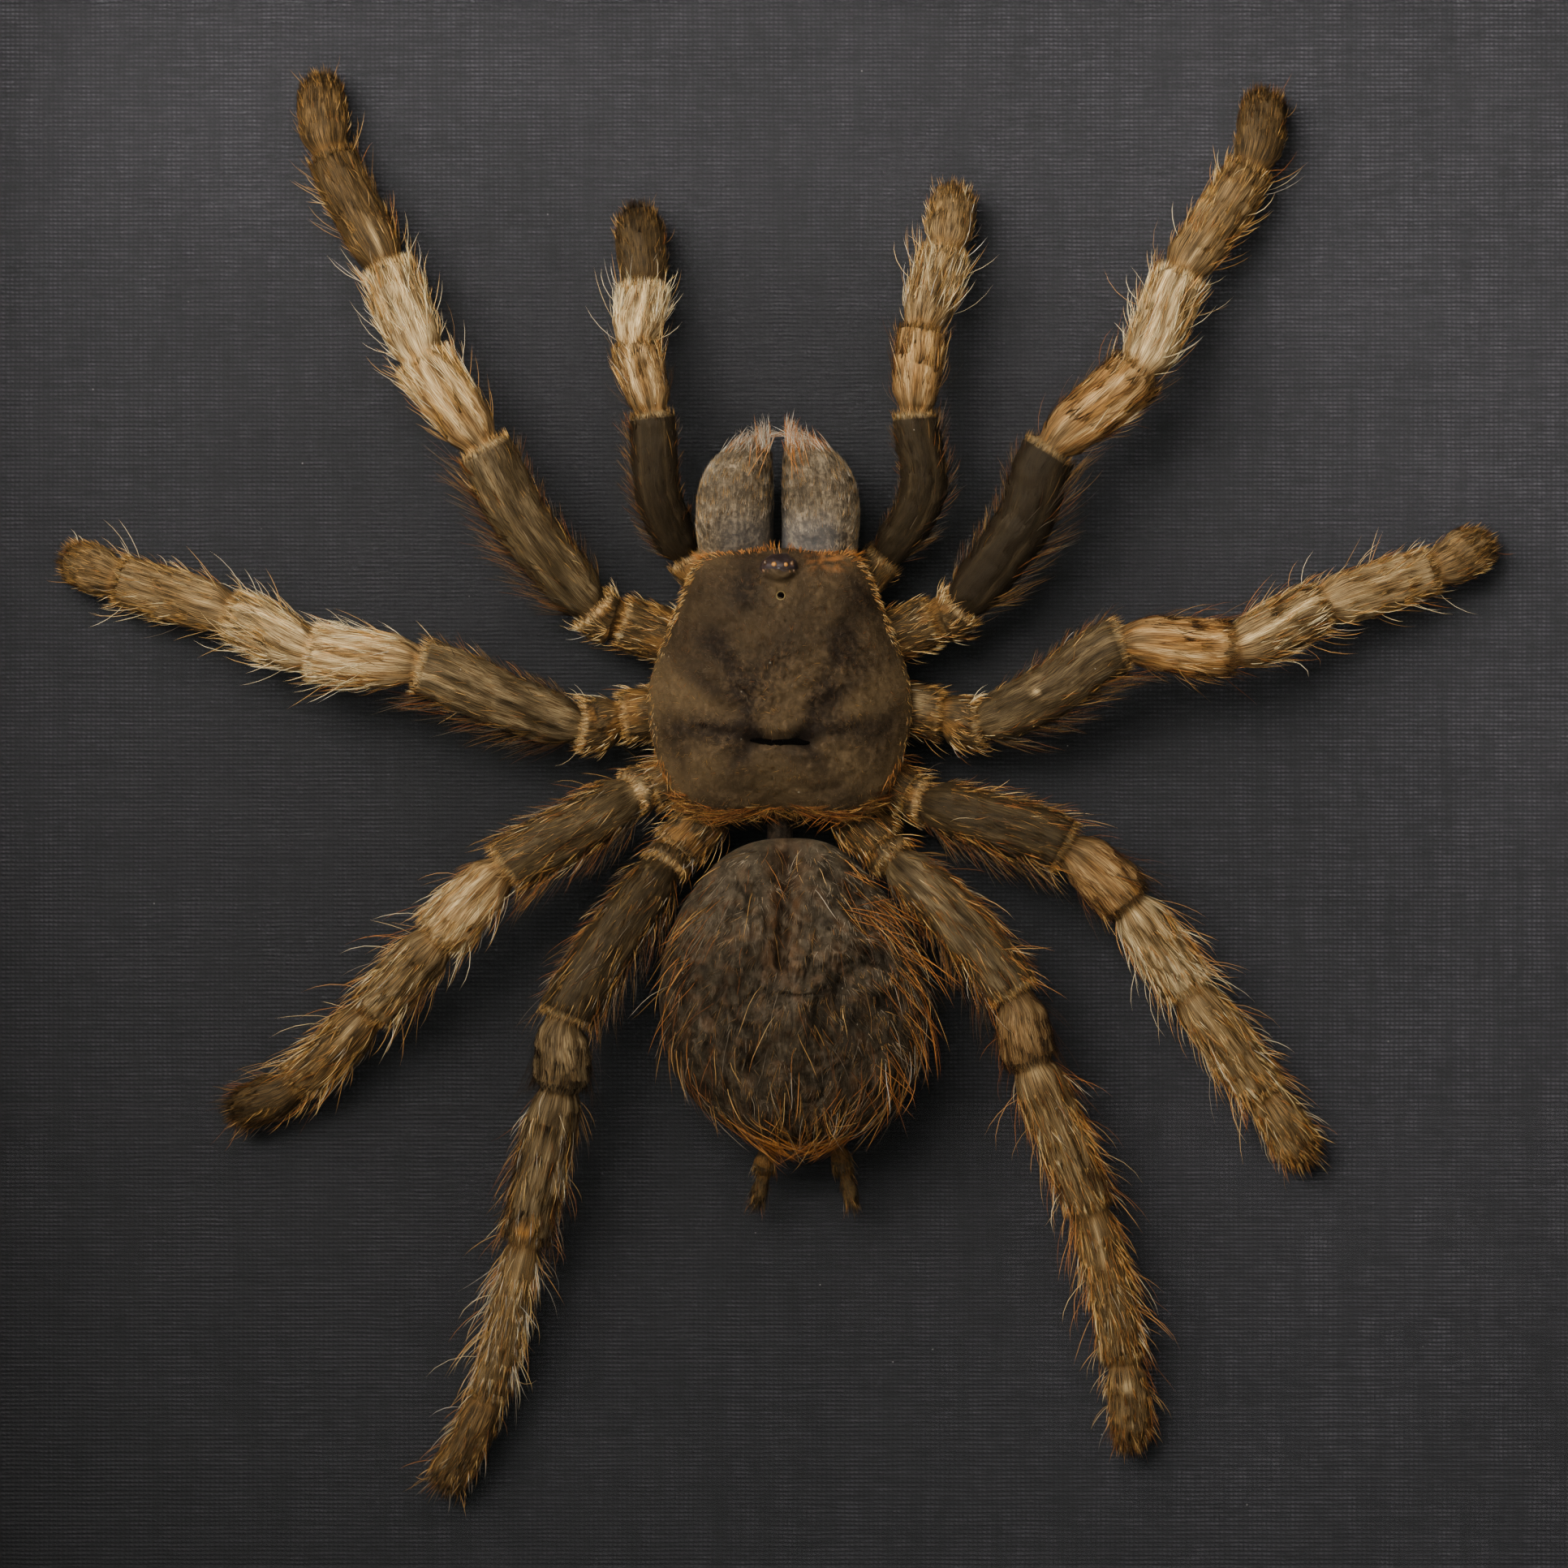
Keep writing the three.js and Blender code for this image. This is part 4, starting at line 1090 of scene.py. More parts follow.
def limb_hair(limb, coat_table, look):
    """The coat of a limb, segment by segment, with its cuffs and the fringe under the femur."""
    coat = Coat()
    for name, start, end in zip(limb.names, limb.starts, limb.ends):
        low, high = limb.travelled(np.array([start, end]))
        low = max(low, 0.6)
        for layer, fur in zip(LAYERS, coat_table[name]):
            grow_layer(coat, limb, look, name, layer, fur, low, high)
        if name != "tarsus":
            cuff_tone = coat_table[name][1].tone if name == "coxa" else CUFF_TONE
            grow_cuff(coat, limb, look, name, high, cuff_tone)
        if name == "femur":
            longest = PALP_FRINGE if coat_table is PALP_COAT else LEG_FRINGE
            grow_fringe(coat, limb, look, low, high, longest)
    coat.finish(limb.name + "_hair")


def build_limb(limb, look, mesh, coat_table):
    limb_skin(limb, look, mesh)
    limb_hair(limb, coat_table, look)


# ---------------- carapace and abdomen

class Dome:
    """A closed rounded body on an outline. share runs from its middle to its rim, at rim_height, from
    which it rises to its top and drops to its underside. The relief is added to the upper side."""

    def __init__(self, centre, outline, rim_height, rise, drop, power, relief,
                 front_lift=(0.0, 0.0, 1.0)):
        self.centre = np.array(centre, float)
        around = np.array(outline, float) - self.centre
        angles = np.arctan2(around[:, 1], around[:, 0])
        order = np.argsort(angles)
        angles, reach = angles[order], np.hypot(*around[order].T)
        self.angles = np.concatenate([angles - 2 * math.pi, angles, angles + 2 * math.pi])
        self.reach = np.tile(reach, 3)
        self.rim_height = rim_height
        self.front_lift = front_lift
        self.rise = rise
        self.drop = drop
        self.power = power
        self.relief = relief

    def reach_at(self, angle):
        """The outline's distance, smoothed over a few degrees."""
        angle = (angle + math.pi) % (2 * math.pi) - math.pi
        nearby = np.linspace(-0.09, 0.09, 7)
        return sum(np.interp(angle + shift, self.angles, self.reach) for shift in nearby) / 7

    def flat(self, angle, share):
        reach = self.reach_at(angle) * share
        x = self.centre[0] + reach * np.cos(angle)
        y = self.centre[1] + reach * np.sin(angle)
        return np.stack([x, y], -1)

    def rim_at(self, places):
        """The rim's height, which rises by the front lift between two places along the body."""
        lift, start, end = self.front_lift
        return self.rim_height + lift * smooth_step(places[:, 1], start, end)

    def top(self, angle, share):
        places = self.flat(angle, share)
        inside = np.clip(1 - share ** self.power[0], 0, 1) ** self.power[1]
        height = self.rim_at(places) + self.rise * inside + self.relief(places) * np.sqrt(inside)
        return np.concatenate([places, height[:, None]], 1)

    def surface(self, angle, share):
        """Points on the upper side and their outward directions."""
        here = self.top(angle, share)
        inward = self.top(angle, np.maximum(share - 0.02, 0.001))
        turned = self.top(angle + 0.03, share)
        outward = unit(np.cross(here - inward, turned - here))
        return here, outward

    def skin(self, name, replaced, material, mesh, marks_at):
        """The closed skin, from the pole below over the rim to the pole on top."""
        rings, sides = mesh
        angle = np.tile(np.arange(sides) / sides * 2 * math.pi, rings)
        below = np.sin(np.linspace(0.12, 1, rings // 4) * math.pi / 2)
        above = np.cos(np.linspace(0, 1, rings - rings // 4 + 1)[1:] * math.pi / 2)
        above[-1] = 0.012
        share = np.repeat(np.concatenate([below[:-1], [1.0], above]), sides)
        is_below = np.repeat(np.arange(rings) < rings // 4 - 1, sides)
        points = self.top(angle, share)
        under = self.rim_height - self.drop * np.sqrt(np.clip(1 - share ** 2, 0, 1))
        points[:, 2] = np.where(is_below, under + self.rim_at(points) - self.rim_height, points[:, 2])
        pole_below = [*self.centre, self.rim_height - self.drop]
        pole_on_top = self.top(np.zeros(1), np.zeros(1))[0]
        points = np.concatenate([points, [pole_below, pole_on_top]])
        marks = marks_at(points)
        faces, uv = tube_faces(rings, sides)
        new_piece(name, points, faces, material, replaces=replaced, uv=uv, marks=marks)


def mirrored(half_outline, axis):
    return [(axis + x, y) for x, y in half_outline] + [(axis - x, y) for x, y in half_outline]


CARAPACE_HALF = ((0, 20.2), (2.5, 20.2), (5, 20.0), (6.7, 19.7), (7.3, 19.0), (7.9, 17.6), (8.6, 15.8),
                 (9.5, 13.6), (10.3, 11.6), (10.95, 9.6), (11.35, 7.8), (11.3, 5.6), (10.8, 3.2),
                 (10.2, 1.2), (9.3, -0.6), (8.2, -2.0), (6.8, -2.9), (5.0, -3.1), (3.2, -2.9),
                 (1.6, -2.5), (0.2, -2.3))
CARAPACE_MIDDLE = (BODY_AXIS, 8.3)
FOVEA = (-0.35, 3.55)
SLIT_Y = FOVEA[1] + 0.1
EYE_MOUND = (-0.45, 18.55)
MOUND_HEIGHT = 1.15
PIN_HOLE = (-0.28, 16.17)
# The furrows that fan out from the fovea: where each ends, its depth and its half width.
FURROWS = ((6.2, 14.0, 0.16, 0.9), (9.0, 10.9, 0.26, 1.1), (10.3, 5.2, 0.20, 0.9), (6.0, -0.8, 0.16, 1.0))
REAR_DIPS = (((-5.0, -0.4), (-1.4, -1.0)), ((0.8, -1.0), (4.4, -0.3)))
# The small pits: x, y, radius and depth. Then the coloured patches: x, y, radius and strength.
PITS = ((-3.15, 15.2, 0.38, 0.35), (1.85, 15.75, 0.2, 0.2), (5.6, 16.2, 0.2, 0.12))
PALE_PATCHES = ((-9.3, 8.2, 2.4, 0.8), (8.3, 8.0, 2.6, 0.8), (-7.0, 0.5, 2.6, 0.7),
                (-0.6, 0.2, 3.0, 0.8), (6.2, 0.8, 2.8, 0.7), (-0.3, 16.6, 1.3, 0.5),
                (3.0, 15.0, 1.6, 0.4), (0.6, 7.4, 2.6, 0.3))
DARK_PATCHES = ((-1.8, 13.0, 2.2, 0.3), (5.0, 13.5, 2.0, 0.3), (-6.0, 14.5, 3.8, 0.5))
WARM_PATCHES = ((4.5, 19.2, 0.9, 0.45), (2.8, 19.2, 0.9, 0.25))


def to_line(places, start, end):
    """Distance from a line between two places, and the share of the way along it."""
    start, end = np.array(start, float), np.array(end, float)
    way = end - start
    share = np.clip((places[:, :2] - start) @ way / (way @ way), 0, 1)
    return np.linalg.norm(places[:, :2] - start - share[:, None] * way, axis=1), share


def furrow_depth(places):
    """How deep a place of the carapace is in one of its furrows."""
    depth = np.zeros(len(places))
    for x, y, deep, width in FURROWS:
        for side in (-1, 1):
            start = (FOVEA[0] + side * 1.8, FOVEA[1] + 0.5)
            away, share = to_line(places, start, (BODY_AXIS + side * x, y))
            fade = np.sin(math.pi * (0.12 + 0.8 * share))
            depth += deep * bell(away, width * (0.6 + 0.6 * share)) * fade
    return depth


def from_fovea(places):
    return to_line(places, (FOVEA[0] - 2.5, SLIT_Y), (FOVEA[0] + 2.5, SLIT_Y))


def from_mound(places):
    """How far out a place is on the eye mound, whose edge is at 1."""
    return np.hypot((places[:, 0] - EYE_MOUND[0]) / 1.5, (places[:, 1] - EYE_MOUND[1]) / 1.15)


def carapace_relief(places):
    away, share = from_fovea(places)
    slit = 0.45 * bell(away, 0.3) * (0.4 + 0.6 * np.sin(math.pi * share)) + 0.45 * bell(away, 0.9)
    mound = from_mound(places)
    rise = MOUND_HEIGHT * np.clip(1 - mound ** 2.6, 0, 1) ** 0.6 - 0.3 * bell(mound - 1.2, 0.25)
    head = 0.35 * bell(np.hypot((places[:, 0] - BODY_AXIS) / 4.4, (places[:, 1] - 13.5) / 5.5), 1.0)
    dips = sum(0.22 * bell(to_line(places, start, end)[0], 0.8) for start, end in REAR_DIPS)
    uneven = 0.07 * waves(places, 2.6, 41) + 0.045 * waves(places, 1.1, 42)
    uneven = uneven + 0.025 * waves(places, 0.55, 44)
    notch = 0.5 * spot(places, BODY_AXIS, -2.6, 0.9)
    return rise + head + uneven - slit - spots(places, PITS) - dips - notch - furrow_depth(places)


def carapace_marks(points):
    depth = furrow_depth(points)
    away, _ = from_fovea(points)
    mound = from_mound(points)
    patch = 0.32 + 0.16 * waves(points[:, :2], 5.0, 43)
    patch = patch + spots(points, PALE_PATCHES)
    # Painted highlights: pale bands along the ridges from each side towards the middle.
    for side in (-1, 1):
        start, end = (BODY_AXIS + side * 10.0, 8.2), (BODY_AXIS + side * 4.2, 6.4)
        patch = patch + 0.75 * bell(to_line(points, start, end)[0], 0.9)
    out = np.hypot((points[:, 0] - BODY_AXIS) / 11.3, (points[:, 1] - 8.0) / 14.0)
    edge = smooth_step(out, 0.86, 1.0)
    # Painted shade: the furrows lose their pale, and the furrows, the fovea's slit, the pits and the rear
    # dips are darkened as if shaded.
    pale = np.clip(patch - 2.5 * depth, 0, 1) * 0.42 + 0.25 * edge
    dark = 2.2 * depth + 1.6 * bell(away, 0.36) + 0.45 * bell(away, 1.2) + 0.75 * bell(mound, 0.9)
    dark = dark + spots(points, DARK_PATCHES) + 0.15 * smooth_step(points[:, 1], 8.0, 14.0)
    for start, end in REAR_DIPS:
        dark = dark + 0.45 * bell(to_line(points, start, end)[0], 0.8)
    for x, y, radius, _ in PITS:
        dark = dark + 0.9 * spot(points, x, y, radius)
    warm = spots(points, WARM_PATCHES) * smooth_step(waves(points[:, :2], 0.9, 48), -0.7, 0.7)
    return np.stack([pale, dark, warm], 1)


def bead(centre, radii, rings=10, sides=16):
    """A closed little ball as points and faces."""
    polar = np.repeat(np.linspace(0, math.pi, rings + 2)[1:-1], sides)
    angle = np.tile(np.arange(sides) / sides * 2 * math.pi, rings)
    ball = np.stack([np.sin(polar) * np.cos(angle), np.sin(polar) * np.sin(angle), -np.cos(polar)], -1)
    ball = np.concatenate([ball, [[0, 0, -1], [0, 0, 1]]])
    return np.array(centre) + ball * np.array(radii), tube_faces(rings, sides)[0]


def ring(centre, radius, thickness, sides=28, around=10):
    """A closed ring lying on the card's plane."""
    turn = np.repeat(np.arange(sides) / sides * 2 * math.pi, around)
    bend = np.tile(np.arange(around) / around * 2 * math.pi, sides)
    reach = radius + thickness * np.cos(bend)
    points = np.stack([reach * np.cos(turn), reach * np.sin(turn), thickness * np.sin(bend)], -1)
    a = np.arange(sides)[:, None] * around
    b = (np.arange(sides)[:, None] + 1) % sides * around
    here = np.arange(around)[None, :]
    following = (here + 1) % around
    quads = np.stack([a + here, b + here, b + following, a + following], -1).reshape(-1, 4)
    return np.array(centre) + points, [quads, np.empty((0, 3), int)]


def joined(parts):
    """Several sets of points and faces as one."""
    points, quads, fans, count = [], [], [], 0
    for part_points, (part_quads, part_fans) in parts:
        points.append(part_points)
        quads.append(part_quads + count)
        fans.append(part_fans + count)
        count += len(part_points)
    return np.concatenate(points), [np.concatenate(quads), np.concatenate(fans)]


# The eyes as x and y from the mound's middle, their half widths and their height on it.
MAIN_EYES = ((-0.40, 0.30, 0.22, 0.22, 1.22), (0.62, 0.28, 0.20, 0.20, 1.16))
SIDE_EYES = ((-1.15, 0.42, 0.17, 0.26, 0.80), (1.15, 0.38, 0.17, 0.26, 0.80),
             (-0.92, -0.34, 0.15, 0.2, 1.0), (0.92, -0.36, 0.15, 0.2, 1.0),
             (-1.30, -0.25, 0.14, 0.22, 0.65), (1.30, -0.28, 0.14, 0.22, 0.65))


def carapace_details(dome):
    """The eye mound, its eyes and the pin's rim, with near black pieces of painted shade in the slit of
    the fovea and in the pin's hole.
    """
    mound_top = dome_height(dome, EYE_MOUND) - MOUND_HEIGHT
    points, faces = bead((*EYE_MOUND, mound_top + 0.1), (1.62, 1.22, 1.22), 20, 36)
    points = points + 0.05 * waves(points, 0.8, 49)[:, None]
    horn = glossy_horn("eye_mound", (0.008, 0.0045, 0.0042), (0.045, 0.027, 0.024), 0.36, 0.25)
    new_piece("eye_mound", points, faces, horn)
    # The main eyes' bright amber is partly their own colour and partly a painted glint.
    for name, places, deep, light in (
            ("main_eyes", MAIN_EYES, (0.10, 0.03, 0.010), (0.80, 0.36, 0.07)),
            ("side_eyes", SIDE_EYES, (0.012, 0.006, 0.005), (0.16, 0.08, 0.03))):
        eyes = [bead((EYE_MOUND[0] + x, EYE_MOUND[1] + y, mound_top + height), (half_x, half_y, 0.2))
                for x, y, half_x, half_y, height in places]
        points, faces = joined(eyes)
        new_piece(name, points, faces, glossy_horn(name, deep, light, 0.12))
    # Painted shade: a near black piece lies in the fovea's slit and another in the pin's hole, where
    # shade falls.
    slit_height = dome_height(dome, (FOVEA[0], SLIT_Y))
    points, faces = bead((FOVEA[0], SLIT_Y, slit_height + 0.10), (2.6, 0.36, 0.15), 24, 30)
    points[:, 1] += 0.09 * np.sin(2.1 * points[:, 0] + 0.6) - 0.012 * (points[:, 0] - FOVEA[0])
    painted_hole_shade = glossy_horn("hole_shade_black", (0.0015, 0.001, 0.001), (0.002, 0.0015, 0.001), 1.0, 0.0)
    new_piece("fovea_shade", points, faces, painted_hole_shade)
    pin_height = dome_height(dome, PIN_HOLE)
    points, faces = ring((*PIN_HOLE, pin_height + 0.12), 0.36, 0.055)
    brassy = glossy_horn("pin_rim", (0.10, 0.07, 0.025), (0.26, 0.19, 0.08), 0.6, 0.0)
    new_piece("pin_rim", points, faces, brassy)
    points, faces = bead((*PIN_HOLE, pin_height + 0.03), (0.34, 0.34, 0.08))
    new_piece("pin_hole_shade", points, faces, painted_hole_shade)


# The strands of the carapace, by planting: its down, the rim's hair, each rear sweep, the tuft in
# the middle behind and each front corner.
CARAPACE_DOWN = 9000
RIM_STRANDS = 2600
SWEEP_STRANDS = 480
TUFT_STRANDS = 110
CORNER_STRANDS = 195


def carapace_down(coat, dome):
    """Short hair combed out from the middle, off the eyes, the pin hole and the slit."""
    number = CARAPACE_DOWN
    angle = rng.uniform(0, 2 * math.pi, number)
    share = np.sqrt(rng.uniform(0.0, 0.985, number))
    root, outward = dome.surface(angle, share)
    from_slit, _ = to_line(root, (FOVEA[0] - 2.3, SLIT_Y), (FOVEA[0] + 2.3, SLIT_Y))
    from_eyes = np.hypot(root[:, 0] - EYE_MOUND[0], root[:, 1] - EYE_MOUND[1])
    from_pin = np.hypot(root[:, 0] - PIN_HOLE[0], root[:, 1] - PIN_HOLE[1])
    clear = (from_eyes > 1.7) & (from_pin > 0.6) & (from_slit > 0.5)
    # The hair's tone follows the skin's marks, their painted shade and highlights with them.
    pale, dark, _ = carapace_marks(root).T
    tone = 0.29 + 0.30 * pale - 0.18 * np.clip(dark, 0, 1) + 0.03 * waves(root, 2.4, 46)
    tone = tone + rng.normal(0, 0.10, number)
    rusty = 0.10 + 0.2 * smooth_step(root[:, 1], 5, 12)
    ashen = 0.3 + 0.4 * smooth_step(root[:, 1], 7, 15)
    coat.plant(root, outward, level(unit(root[:, :2] - (BODY_AXIS, 5.5))), 1, length=even(0.3, 0.8),
               half=even(0.022, 0.032), lift=even(4, 26), fall=about(0, 6),
               yaw=about(45 * waves(root, 3.0, 45), 35), curl=0, tone=np.clip(tone, 0.05, 0.85),
               family=either(rusty, RUST, either(ashen, ASH, STRAW)), keep=clear)


def carapace_rim(coat, dome):
    """The fringe round the carapace, longest and orange behind."""
    number = RIM_STRANDS
    angle = rng.uniform(0, 2 * math.pi, number)
    share = rng.uniform(0.95, 0.999, number)
    root, _ = dome.surface(angle, share)
    radial = level(unit(root[:, :2] - dome.centre))
    tangent = np.cross((0.0, 0.0, 1.0), radial)
    rear = smooth_step(-np.sin(angle), 0.55, 0.8)
    front = smooth_step(root[:, 1], 18.6, 19.8)
    rear_side = smooth_step(-root[:, 1], -4.5, -1.0) * (1 - rear)
    plain = (1 - rear) * (1 - front) * (1 - rear_side)
    in_middle = front * bell(root[:, 0] - BODY_AXIS, 2.1)
    rearward = np.where(root[:, 0] < BODY_AXIS, 1, -1)[:, None] * tangent
    along = 0.9 - 0.9 * front + 0.25 * rear + 1.3 * plain
    forward = unit(radial * (0.65 + 0.35 * front - 0.35 * rear)[:, None] + rearward * along[:, None])
    keep = rng.uniform(size=number) > 0.35 * plain + 0.9 * in_middle + 0.85 * rear
    length = rng.uniform(0.7, 1.2, number) * (0.75 + 1.7 * rear + 0.5 * rear_side + 0.45 * front)
    orange = np.clip(0.12 + 0.85 * front + 0.75 * rear_side + 0.5 * rear, 0, 1)
    family = np.where(rng.uniform(size=number) < orange, RUST, STRAW)
    rusty = rng.normal(0.70, 0.15, number)
    straw = rng.normal(0.62, 0.16, number) + 0.04 * plain
    tone = np.where(family == RUST, rusty, straw) - 0.24 * rear
    coat.plant(root, unit(radial * 0.5 + np.array((0, 0, 0.85))), forward, 3, length=length,
               half=0.030 - 0.007 * plain, lift=about(8, 10), fall=about(-16, 14), yaw=about(0, 11),
               curl=about(0, 20), tone=np.clip(tone, 0.1, 0.95), family=family, keep=keep)


def rear_sweep(coat, dome, side):
    """Long hair behind the carapace, which sweeps out to one side."""
    number = SWEEP_STRANDS
    angle = -math.pi / 2 + side * rng.uniform(0.03, 0.72, number)
    root, outward = dome.surface(angle, rng.uniform(0.92, 0.998, number))
    droop = np.radians(rng.uniform(6, 34, number))
    forward = np.stack([side * np.cos(droop), -np.sin(droop), np.zeros(number)], 1)
    family = np.where(rng.uniform(size=number) < 0.5, RUST, STRAW)
    coat.plant(root, outward, forward, 4, length=even(1.2, 3.0), half=0.028, lift=even(4, 22),
               fall=about(-14, 10), yaw=about(0, 10), curl=times(side, about(16, 16)),
               tone=about(0.40, 0.15, 0.1, 0.95), family=family)


def rear_tuft(coat, dome):
    """The tuft that points back over the pedicel."""
    number = TUFT_STRANDS
    angle = -math.pi / 2 + rng.normal(0.01, 0.09, number)
    root, outward = dome.surface(angle, rng.uniform(0.95, 0.998, number))
    coat.plant(root, outward, (0.06, -1.0, 0.0), 3, length=even(1.0, 2.9), half=0.028,
               lift=about(4, 8), fall=about(-16, 10), yaw=about(0, 26), curl=about(0, 22),
               tone=about(0.42, 0.16, 0.1, 0.95), family=STRAW)


def front_corner(coat, side, start, end):
    """Orange hair along a front corner, over the root of the jaw."""
    number = CORNER_STRANDS
    x = BODY_AXIS + side * rng.uniform(start, end, number)
    y = 19.75 + rng.normal(0, 0.14, number) - 0.07 * np.abs(x - BODY_AXIS)
    root = np.stack([x, y, np.full(number, 9.9)], 1)
    coat.plant(root, (0.0, 0.3, 0.95), (side * 1.0, 0.32, 0.0), 3, length=even(0.8, 2.0), half=0.028,
               lift=about(6, 8), fall=about(-12, 10), yaw=about(0, 12), curl=about(0, 18),
               tone=about(0.72, 0.13, 0.2, 0.97), family=RUST)


def build_carapace():
    dome = Dome(CARAPACE_MIDDLE, mirrored(CARAPACE_HALF, BODY_AXIS), rim_height=8.3, rise=4.6, drop=0.6,
                power=(2.6, 0.75), relief=carapace_relief, front_lift=(1.5, 13.5, 20.0))
    dome.skin("carapace_skin", ("carapace",), CARAPACE_SKIN, CARAPACE_MESH, carapace_marks)
    carapace_details(dome)
    coat = Coat()
    carapace_down(coat, dome)
    carapace_rim(coat, dome)
    rear_sweep(coat, dome, -1)
    rear_sweep(coat, dome, 1)
    rear_tuft(coat, dome)
    front_corner(coat, -1, 2.0, 6.6)
    front_corner(coat, 1, 2.4, 6.2)
    coat.finish("carapace_hair")


def dome_height(dome, place):
    """The height of the dome's top over a place."""
    away = np.array(place) - dome.centre
    angle = np.array([math.atan2(away[1], away[0])])
    share = math.hypot(*away) / dome.reach_at(angle)
    return float(dome.top(angle, share)[0, 2])


ABDOMEN_OUTLINE = ((0.2, -4.7), (2.4, -4.7), (4.2, -5.2), (6.8, -7.4), (9.3, -10.4), (11.4, -14.2),
                   (12.5, -18.4), (12.5, -21.4), (11.6, -24.8), (9.6, -28.0), (6.9, -29.8),
                   (3.9, -30.6), (1.0, -30.9), (-2.6, -30.4), (-5.4, -29.2), (-7.8, -27.2),
                   (-9.6, -24.2), (-10.5, -20.8), (-10.6, -16.4), (-9.6, -12.4), (-7.4, -8.6),
                   (-4.6, -5.8), (-2.0, -4.8))
ABDOMEN_MIDDLE = (0.9, -18.0)
# The sunken seam down the front half of the abdomen, and the ridge that crosses it behind.
SEAM_START = (0.3, -6.2)
SEAM_END = (-0.3, -15.4)
RIDGE_Y = -14.2


def ridge_distance(places):
    """How far in front of the crossing ridge a place is."""
    bow = 0.9 * np.cos((places[:, 0] + 3.5) * 0.55) + 0.35 * waves(places[:, :2], 3.0, 59)
    return places[:, 1] - RIDGE_Y - bow


# The abdomen's hollows, and its two raised shoulders: x, y, radius and depth.
HOLLOWS = ((-3.2, -17.8, 2.6, 0.55), (5.0, -16.5, 2.2, 0.5), (0.1, -5.4, 1.5, 0.9),
           (-2.7, -6.4, 1.3, -0.6), (2.9, -6.2, 1.3, -0.6))
# The lengthwise folds of the abdomen, each from one place to another.
FOLDS = (((-1.1, -7.6), (-7.4, -14.6)), ((-7.4, -14.6), (-9.0, -19.5)), ((3.8, -7.6), (8.7, -15.3)),
         ((8.7, -15.3), (9.6, -21.0)), ((-3.4, -19.5), (-2.6, -25.5)), ((6.0, -15.0), (2.2, -19.5)),
         ((5.6, -23.5), (2.0, -26.8)), ((-6.0, -18.0), (-6.4, -25.0)), ((3.0, -19.5), (3.4, -24.0)))


def in_folds(flat):
    """How much of a fold a place is in."""
    bent = flat + 0.5 * np.stack([waves(flat, 4.0, 65), waves(flat, 4.0, 66)], -1)
    return sum(bell(to_line(bent, start, end)[0], 0.42) for start, end in FOLDS)


def abdomen_relief(places):
    flat = places[:, :2]
    away, share = to_line(flat, SEAM_START, SEAM_END)
    seam = 1.1 * bell(away, 0.45 + 0.3 * (1 - share)) + 0.7 * bell(away, 2.0)
    angle = np.arctan2(flat[:, 0] - SEAM_START[0], -(flat[:, 1] - SEAM_START[1] - 1.5))
    fan = bell(np.sin(6.5 * angle + 0.9 * waves(flat, 5.0, 50)), 0.42) * smooth_step(away, 0.6, 2.5)
    in_front = smooth_step(ridge_distance(places), -0.5, 1.5)
    step = 0.45 * bell(ridge_distance(places) - 0.3, 0.45) * smooth_step(np.abs(flat[:, 0]), 0.5, 2.0)
    stretched = flat * (1.0, 0.34)
    wrinkles = bell(waves(stretched, 2.1, 52), 0.25) * 0.20 + bell(waves(stretched, 1.1, 53), 0.3) * 0.06
    folds = 0.30 * bell(waves(flat, 6.5, 51), 0.16)
    swell = 0.20 * waves(flat, 4.6, 54) + 0.06 * waves(flat, 1.8, 55) + 0.025 * waves(flat, 0.8, 56)
    creases = 0.3 * fan * in_front + wrinkles * (0.9 - 0.45 * in_front) + folds + 0.5 * in_folds(flat)
    return swell + step - seam - creases - spots(places, HOLLOWS)


def abdomen_marks(points):
    flat = points[:, :2]
    away, _ = to_line(flat, SEAM_START, SEAM_END)
    in_front = smooth_step(ridge_distance(points), -0.5, 1.5)
    grey = (0.06 + 0.20 * in_front) * smooth_step(waves(flat, 1.3, 57), -0.4, 1.4)
    crust = 0.5 * bell(ridge_distance(points) - 0.1, 0.4) * smooth_step(waves(flat, 2.4, 60), -0.6, 0.8)
    stretched = flat * (1.0, 0.34)
    # Painted shade: the seam, the wrinkles and the folds are darkened where the relief sinks; the two
    # dark patches are the skin's own.
    dark = 0.95 * bell(away, 0.6) + 0.3 * bell(away, 1.5) + 0.35 * bell(waves(stretched, 2.1, 52), 0.3)
    dark = dark + 0.4 * bell(waves(flat, 6.5, 51), 0.25) + 0.7 * in_folds(flat)
    dark = dark + 0.45 * spot(points, -2.9, -18.1, 2.4) + 0.45 * spot(points, 5.9, -19.9, 2.6)
    warm = 0.10 * smooth_step(waves(flat, 2.0, 58), 0.3, 1.3) + 0.4 * crust + 0.4 * bell(away, 1.0)
    white = np.clip(1.8 * spot(points, 0.15, -30.0, 0.28), 0, 1)
    # Painted highlights: paler patches on the raised shoulders, on their sides towards the top.
    shoulders = 0.34 * (spot(points, -3.5, -5.6, 2.3) + spot(points, 3.1, -5.3, 2.2))
    pale = np.maximum.reduce([grey, crust * 0.6, shoulders * (1 - dark), white])
    return np.stack([pale, np.clip(dark, 0, 0.9) * (1 - white), warm * (1 - white)], 1)


# The strands of the abdomen: its short hair and its long hair before thinning. Then its tufts on
# the right: where each is, where it points and its strands. Then the sweeps over the spinnerets.
ABDOMEN_DOWN = 7000
ABDOMEN_LONG = 2000
SIDE_TUFTS = ((6.6, -10.6, 0.95, -0.45, 22), (9.6, -14.6, 0.85, -0.75, 18), (11.2, -18.6, 0.55, -1.0, 14),
              (8.8, -24.0, 0.5, -1.0, 14))
HIND_SWEEPS = ((-1, -4.4, 120), (1, 6.2, 80))


